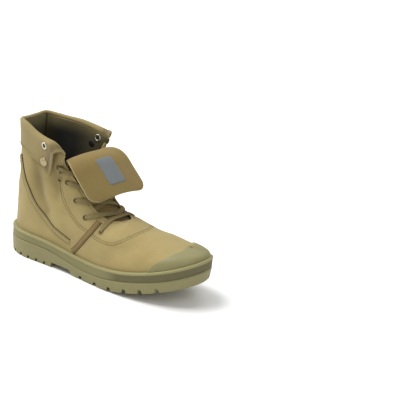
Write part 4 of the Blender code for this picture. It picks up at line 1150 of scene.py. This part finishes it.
def make_foxing():
    """Rubber band with slanted ribs round the toe, faint ones along the sides, and a smooth rolled lip."""
    inset, share, over = np.array(FOXING_SECTION).T
    lip = share > 0.99
    ribbed = ~lip & (inset < 0.5)
    dark = (over == JOIN) | (over == UNDER_LIP)
    halves = []
    for side in (LATERAL, MEDIAL):
        length = OUTLINE[side][3]
        columns = int((1 - GRAINED) * length / FOXING_STEP) + 1
        plain = np.linspace(0, GRAINED, GRAINED_COLUMNS, endpoint=False)
        feet = np.concatenate([plain, np.linspace(GRAINED, 1, columns)])[:, None]
        x = sole_point(side, feet)[..., 0]
        base, top = seam_z(x), band_z(x)
        z = base + share * (top - base) + over
        phase = (feet * length + (z - base) * RIB_LEAN) / RIB_SPACING
        strength = np.interp(feet, (RIB_START - 0.03, RIB_START + 0.03), (SIDE_GRAIN, 1.0))
        groove = ribbed * strength * RIB_HEIGHT * (0.5 + 0.5 * np.cos(2 * math.pi * phase))
        plan = sole_point(side, feet + 0 * z, inset + groove)
        # Painted highlight on the rolled lip, painted shade in the rib grooves and under the lip, and a dark
        # line at the joint with the outsole
        shade = np.where(lip, 1.3, 1.0 - 0.8 * groove / RIB_HEIGHT * strength) * np.where(dark, 0.6, 1)
        halves.append(np.concatenate([plan, z[..., None], shade[..., None]], axis=-1))
    rows = np.concatenate([halves[0], halves[1][-2:0:-1]])
    faces = ring_faces(len(rows), len(inset), looped=True)
    piece("boot_foxing", rows[..., :3].reshape(-1, 3), faces, FOXING_RUBBER, replaced=["foxing"],
          slot="rubber_foxing", tone=rows[..., 3], sharp_angle=75)


def make_outsole():
    """The sole's own solid with its edges rounded."""
    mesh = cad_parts["outsole"].data.copy()
    mesh.name = "boot_outsole"
    mesh.materials.clear()
    mesh.materials.append(OUTSOLE_RUBBER)
    lay_tone(mesh, np.ones(len(mesh.vertices)))
    made = add_object("boot_outsole", mesh)
    edge = made.modifiers.new("edge", "BEVEL")
    edge.width = 0.6 * MM
    edge.segments = 2
    edge.limit_method = "ANGLE"
    edge.angle_limit = math.radians(38)
    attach(made, "root")
    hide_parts("outsole")


# ---------------------------------------------------------------- cuff

CUFF_FINE, CUFF_ROWS = 110, 64
CUFF_SWELL = 0.8          # share of the upper's swells that the cuff has
HEM, HEM_THICK = 4.6, 1.3  # width of the turned hem on the front edges, and how much thicker it is
SHADED, SHADED_WIDTH, CUFF_SHADE = 7.5, 7.0, 0.42    # distance from the front where the cuff lies in shade
CUFF_TOP = 0.22           # share of the cuff's width where it is bent over, with a painted highlight along the roll
CUFF_THREAD = 0.26        # radius of the thread
FACING = 0.205            # foot of the seam that holds the facing behind the fasteners
EDGE_ROW = 0.90           # share of the way down the flap of the row of stitches over its lower edge
ROW_KNOTS = 9


def make_cuff():
    """The turned-down top of the shaft with its hems, and its rows of stitches."""
    feet = stops(CUFF_FINE, CORNER, 0.004) * CORNER
    feet = np.concatenate([[0.0], feet[feet > 0.004]])
    halves = []
    for side in (LATERAL, MEDIAL):
        rows = cuff_middle(side, feet)
        length = arc_length(rows, 1)[:, -1].mean()
        travel, at = np.linspace(0, 1, rows.shape[1]), stops(CUFF_ROWS, length, CUFF_WALL / 2)
        halves.append(spline(travel, rows.swapaxes(0, 1), at).swapaxes(0, 1))
    middle = np.concatenate([halves[0][::-1], halves[1][1:]])
    middle = middle + grid_normals(middle) * (CUFF_SWELL * swell(middle, 0.0))[..., None]
    across = arc_length(middle, 1)
    front, edge = from_ends(arc_length(middle, 0), 0), from_ends(across, 1)
    thickness = CUFF_WALL + HEM_THICK * np.clip((HEM - front) / 0.8 + 0.5, 0, 1)
    groove, top = bell(front, HEM, 0.5), bell(across, across[:, -1:] * CUFF_TOP, 3.0)
    # Painted highlight along the rounded edges, on the thick hem and along the roll; painted shade in the
    # hem's stitched groove and near the front, where the cuff lies in shade
    tone = 1 + 0.12 * np.exp(-edge / 1.5) + 0.14 * np.clip((HEM - front) / 2, 0, 1)
    tone = tone - 0.35 * groove + 0.10 * top
    tone = tone * (1 - CUFF_SHADE * bell(front, SHADED, SHADED_WIDTH))
    sheet("boot_cuff", middle, thickness, CUFF_CANVAS, tone=tone, replaced=["cuff"], slot="canvas_cuff")
    for side in (LATERAL, MEDIAL):
        facing = cuff_row(side, [FACING] * ROW_KNOTS, np.linspace(0.03, 0.97, ROW_KNOTS))
        lower = cuff_row(side, np.linspace(0.004, 0.262, ROW_KNOTS), [EDGE_ROW] * ROW_KNOTS)
        stitches(f"cuff_stitches_{SIDE_NAMES[side]}", [facing, lower], SOFT_THREAD, radius=CUFF_THREAD)


def cuff_row(side, feet, shares):
    """Evenly spaced points and normals along a line over the flap of the cuff."""
    spots = [cuff_spot(side, foot, share) for foot, share in zip(feet, shares)]
    points, normals = np.array(spots).swapaxes(0, 1)
    travel = arc_length(points, 0)
    at = np.linspace(0, travel[-1], int(travel[-1] / STITCH_PITCH))
    return spline(travel, points, at), unit(spline(travel, normals, at))


INNER_SNAP, INNER_RING = (0.253, 0.86), (0.262, 0.94)      # foot and rise of their backs on the lining
DOME = (
    # radius and height of the snap's outline, from the cuff outwards
    (0.0, 2.1), (2.4, 2.0), (3.0, 1.6), (3.6, 1.8), (5.2, 1.6),
    (6.1, 1.1), (6.3, 0.4), (6.0, -0.6), (0.0, -0.6),
)
SNAP_BACK = ((0.0, 0.9), (3.4, 0.9), (4.6, 0.3), (4.6, -0.5), (0.0, -0.5))


def ring_section(middle, half, high, low, count=14):
    """Oval section of a ring: radius and height."""
    level, tall = (high + low) / 2, (high - low) / 2
    turns = np.linspace(0, 2 * math.pi, count, endpoint=False)
    return [(middle + half * math.cos(turn), level + tall * math.sin(turn)) for turn in turns]


def disc(radius, high, low):
    """Outline of a flat disc, from axis to axis."""
    return (0.0, high), (radius, high), (radius, low), (0.0, low)


EYELET_SECTION = ring_section(2.95, 0.75, 0.7, -0.3, 12)
GROMMET_SECTION = ring_section((GROMMET_HOLE + GROMMET_OUTER) / 2, 1.15, 1.4, -0.3)
INNER_SECTION = ring_section(3.9, 1.1, 0.8, -0.2)
EYELET_SHADE, GROMMET_SHADE = disc(2.5, 0.12, -0.4), disc(GROMMET_HOLE + 0.4, 0.25, -0.4)
INNER_SHADE = disc(3.2, 0.1, -0.3)


def lining_spot(side, foot, rise):
    """Place on the lining and the direction into the boot."""
    return shaped(side, foot, rise, -WALL - 0.1), -upper_normal(side, foot, rise)


def make_fasteners():
    """Grommet and snap on each side of the cuff, and the backs of another pair on the lining."""
    for side in (LATERAL, MEDIAL):
        name = SIDE_NAMES[side]
        spot = cuff_spot(side, *CUFF_GROMMET)
        lathe(f"boot_grommet_{name}", GROMMET_SECTION, *spot, GROMMET_METAL, closed=True,
              replaced=[f"grommet_{name}"], slot="grommet_metal")
        lathe(f"grommet_hole_{name}", GROMMET_SHADE, *spot, SHADE)
        spot = cuff_spot(side, *CUFF_SNAP)
        lathe(f"boot_snap_{name}", DOME, *spot, BRASS, replaced=[f"snap_{name}"], slot="snap_brass")
        spot = lining_spot(side, *INNER_RING)
        lathe(f"inner_ring_{name}", INNER_SECTION, *spot, GROMMET_METAL, closed=True)
        lathe(f"inner_hole_{name}", INNER_SHADE, *spot, SHADE)
        lathe(f"inner_snap_{name}", SNAP_BACK, *lining_spot(side, *INNER_SNAP), DARK_METAL)


def make_eyelets():
    for side in (LATERAL, MEDIAL):
        for number, (foot, rise, _) in enumerate(EYELETS[side], 1):
            spot = shaped(side, foot, rise), upper_normal(side, foot, rise)
            name = f"{SIDE_NAMES[side]}_{number}"
            lathe(f"boot_eyelet_{name}", EYELET_SECTION, *spot, EYELET_METAL, sides=28, closed=True,
                  replaced=[f"eyelet_{name}"], slot="eyelet_metal")
            lathe(f"eyelet_hole_{name}", EYELET_SHADE, *spot, SHADE, sides=20)


# ---------------------------------------------------------------- tongue

FLAP_START = 118.0        # travel along the tongue where its piped edge begins
TONGUE_ROWS, TONGUE_COLUMNS = 118, 20
TONGUE_STOPS = 70.0, 1.3  # width of the tongue and of its rounded edges, which its columns are laid out for
TONGUE_WAVES = 0.6, 17.0, 13.0                       # height, and lengths along and across


def make_tongue():
    """Tongue and its flap, with piping along the flap's edge and the patch on it."""
    middle = tongue_grid(stops(TONGUE_COLUMNS, *TONGUE_STOPS), TONGUE_ROWS)
    across, along = arc_length(middle, 1), arc_length(middle, 0)
    edge = np.minimum(from_ends(across, 1), along[-1:] - along)
    height, long, wide = TONGUE_WAVES
    waves = height * np.sin(along / long) * np.sin(across / wide)
    middle = middle + grid_normals(middle) * (waves * np.clip(edge / 6, 0, 1))[..., None]
    # painted highlight along the tongue's rounded edges
    tone = 1 + 0.10 * np.exp(-edge / 2.0)
    sheet("boot_tongue", middle, TONGUE_THICK, FLAP_CANVAS, tone=tone,
          replaced=["tongue"], slot="canvas_tongue")
    start = int(np.argmin(np.abs(along[:, along.shape[1] // 2] - FLAP_START)))
    rim = np.concatenate([middle[start:, 0], middle[-1, 1:-1], middle[:start - 1:-1, -1]])
    tube("flap_piping", resampled(rim, 1.2), 0.7, PIPING, sides=10)
    make_patch(middle)


PATCH_TRAVEL, PATCH_ACROSS, PATCH_CORNER = (158.5, 198.0), (0.40, 0.68), 3.0
PATCH_THICK, PATCH_SEAT = 0.8, 0.25
PATCH_ROWS, PATCH_COLUMNS = 40, 26
PATCH_PLACE = -40         # row of the tongue that the patch's place across is measured on
FLAP_FACING = np.array([0.6, -0.4, 0.7])             # roughly out of the flap's upper face


def make_patch(middle):
    """Plain woven patch with rounded corners, sewn on the flap."""
    travel = arc_length(middle[:, middle.shape[1] // 2], 0)
    share = arc_length(middle[PATCH_PLACE], 0)
    rows = spline(travel, middle, np.linspace(*PATCH_TRAVEL, PATCH_ROWS))
    across = np.linspace(*PATCH_ACROSS, PATCH_COLUMNS)
    grid = spline(share / share[-1], rows.swapaxes(0, 1), across).swapaxes(0, 1)
    deep = from_ends(arc_length(grid, 0), 0)
    narrow = PATCH_CORNER - np.sqrt(PATCH_CORNER ** 2 - np.clip(PATCH_CORNER - deep, 0, PATCH_CORNER) ** 2)
    centre = grid[:, PATCH_COLUMNS // 2, None]
    half = arc_length(grid, 1)[:, -1:] / 2
    grid = centre + (grid - centre) * ((half - narrow) / half)[..., None]
    normal = grid_normals(grid)
    outward = np.sign((normal @ FLAP_FACING).mean())
    sheet("flap_patch", grid + normal * outward * (TONGUE_THICK / 2 + PATCH_SEAT), PATCH_THICK, PATCH)


# ---------------------------------------------------------------- laces

RIBBON_WIDTH, RIBBON_THICK, RIBBON_SIDES = 6.4, 1.5, 16
RIBBON_SQUARE = 0.75      # 1 gives an oval section, less a squarer one
LACE_POINTS = 64
LACE_RISE = 2.6           # of a crossing's middle over the throat's edges
OVER_STEP, BAR_STEP = 1.3, 1.0                       # how much higher the upper crossings and the bar lie


def ribbon(name, path, normals, widths, thicks, **facts):
    """Flat lace with rounded edges along a path."""
    _, normal, side = frames_along(path, normals)
    turn = round_angles(RIBBON_SIDES)
    flat, high = (np.sign(wave) * np.abs(wave) ** RIBBON_SQUARE for wave in (np.cos(turn), np.sin(turn)))
    reach = flat * widths[:, None] / 2
    ring = side[:, None] * reach[..., None] + normal[:, None] * (high * thicks[:, None] / 2)[..., None]
    points = (path[:, None] + ring).reshape(-1, 3)
    uv = np.stack(np.broadcast_arrays(arc_length(path, 0)[:, None], reach), axis=-1).reshape(-1, 2)
    return piece(name, points, ring_faces(len(path), RIBBON_SIDES), LACE, uv=uv, sharp_angle=80, **facts)


def lace_knots(side, number, edge_climb, over):
    """Route at one end of a run: down the eyelet when it lies over the quarter, or out from under it."""
    foot, rise, edge = EYELETS[side][number]
    edge += edge_climb
    middle = ((foot + edge) / 2, (rise + 0.97) / 2)
    near = (foot + (edge - foot) * 0.22, rise + (0.97 - rise) * 0.22)
    if over:
        spots = (
            # place, height over the quarter, share of the width
            ((foot, rise), -3.0, 0.45),
            ((foot, rise), 0.4, 0.5),
            (near, 1.5, 0.85),
            (middle, 1.35, 1.0),
            ((edge, 0.985), 1.6, 1.0),
        )
    else:
        spots = (
            ((foot, rise), -WALL - 1.5, 0.8),
            (middle, -WALL - 1.1, 1.0),
            ((edge, 0.985), -WALL - 0.6, 1.0),
        )
    return [(shaped(side, *spot, lift), upper_normal(side, *spot), width) for spot, lift, width in spots]


def make_laces():
    """The bar at the bottom, and above it runs from under one quarter to the next eyelet over the other."""
    last = len(EYELETS[LATERAL]) - 1
    runs = [("bar", (LATERAL, last, True), (MEDIAL, last, True))]
    for number in range(last, 0, -1):
        for side in (LATERAL, MEDIAL):
            name = f"{SIDE_NAMES[side]}_{number + 1}"
            runs.append((name, (side, number, False), (-side, number - 1, True)))
    for label, start, end in runs:
        climb = (EYELETS[end[0]][end[1]][2] - EYELETS[start[0]][start[1]][2]) * LACE_LEAN
        near = lace_knots(*start[:2], climb, start[2])
        far = lace_knots(*end[:2], -climb, end[2])
        height = LACE_RISE + OVER_STEP * (start[0] == MEDIAL) + BAR_STEP * (label == "bar")
        top = (near[-1][0] + far[-1][0]) / 2 + np.array(THROAT_OUT) * height
        middle = top, unit(near[-1][1] + far[-1][1]), 1.0
        points, normals, widths = (np.array(column) for column in zip(*near, middle, *far[::-1]))
        travel = arc_length(points, 0)
        at = np.linspace(0, travel[-1], LACE_POINTS)
        width = np.interp(at, travel, widths)
        ribbon(f"boot_lace_{label}", spline(travel, points, at), unit(between(at, travel, normals)),
               RIBBON_WIDTH * width, RIBBON_THICK * (1 + 0.5 * (1 - width)),
               replaced=["laces"] if label == "bar" else (), slot="lace_cotton")


# ---------------------------------------------------------------- scene

FLOOR = 6.0               # half the floor's width, in metres
FLOOR_SKIN = {"Base Color": (0.92, 0.92, 0.92, 1), "Roughness": 0.9, "Specular IOR Level": 0.1}
SKY = 0.42
LIGHTS = (
    # name, azimuth, elevation, distance, size, power
    ("key", -68.0, 60.0, 4.5, 3.0, 250.0),
    ("fill", 60.0, 40.0, 4.5, 3.0, 45.0),
    ("back", 190.0, 55.0, 4.5, 3.0, 40.0),
)
CAMERA_AIM = (-0.0587, 0.3463, -0.0006)
CAMERA_AZIMUTH, CAMERA_ELEVATION, CAMERA_ROLL, CAMERA_DISTANCE, CAMERA_LENS = 29.03, 19.62, 6.10, 1.932, 108.0


def make_stage():
    mesh = bpy.data.meshes.new("floor")
    corners = [(-FLOOR, -FLOOR, 0), (FLOOR, -FLOOR, 0), (FLOOR, FLOOR, 0), (-FLOOR, FLOOR, 0)]
    mesh.from_pydata(corners, [], [(0, 1, 2, 3)])
    mesh.materials.append(new_material("pale_floor", FLOOR_SKIN)[0])
    add_object("floor", mesh)


def toward(azimuth, elevation):
    """Unit vector from the boot to a place at an azimuth (0 looks along +Y) and an elevation."""
    a, e = math.radians(azimuth), math.radians(elevation)
    return Vector((math.sin(a) * math.cos(e), -math.cos(a) * math.cos(e), math.sin(e)))


def make_lights():
    world = bpy.data.worlds.new("studio")
    world.use_nodes = True
    sky = world.node_tree.nodes["Background"].inputs
    sky["Color"].default_value = (1, 1, 1, 1)
    sky["Strength"].default_value = SKY
    bpy.context.scene.world = world
    for name, azimuth, elevation, distance, size, power in LIGHTS:
        light = bpy.data.lights.new(name, "AREA")
        light.energy, light.size = power, size
        made = add_object(name, light)
        made.location = toward(azimuth, elevation) * distance
        made.rotation_euler = (-made.location).to_track_quat("-Z", "Y").to_euler()


def make_camera():
    data = bpy.data.cameras.new("camera")
    data.lens = CAMERA_LENS
    data.sensor_width = 36.0
    camera = add_object("camera", data)
    back = toward(CAMERA_AZIMUTH, CAMERA_ELEVATION)
    level = Vector((math.cos(math.radians(CAMERA_AZIMUTH)), math.sin(math.radians(CAMERA_AZIMUTH)), 0))
    upright = back.cross(level)
    roll = math.radians(CAMERA_ROLL)
    right = level * math.cos(roll) + upright * math.sin(roll)
    up = upright * math.cos(roll) - level * math.sin(roll)
    turn = Matrix((right, up, back)).transposed().to_4x4()
    turn.translation = Vector(CAMERA_AIM) + back * CAMERA_DISTANCE
    camera.matrix_world = turn
    bpy.context.scene.camera = camera
    bpy.context.scene.view_settings.view_transform = "Standard"


make_upper()
make_upper_trim()
make_bands()
make_toe_cap()
make_foxing()
make_outsole()
make_cuff()
make_fasteners()
make_eyelets()
make_tongue()
make_laces()
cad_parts["insole"].data.materials.clear()
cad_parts["insole"].data.materials.append(LINING)
make_stage()
make_lights()
make_camera()
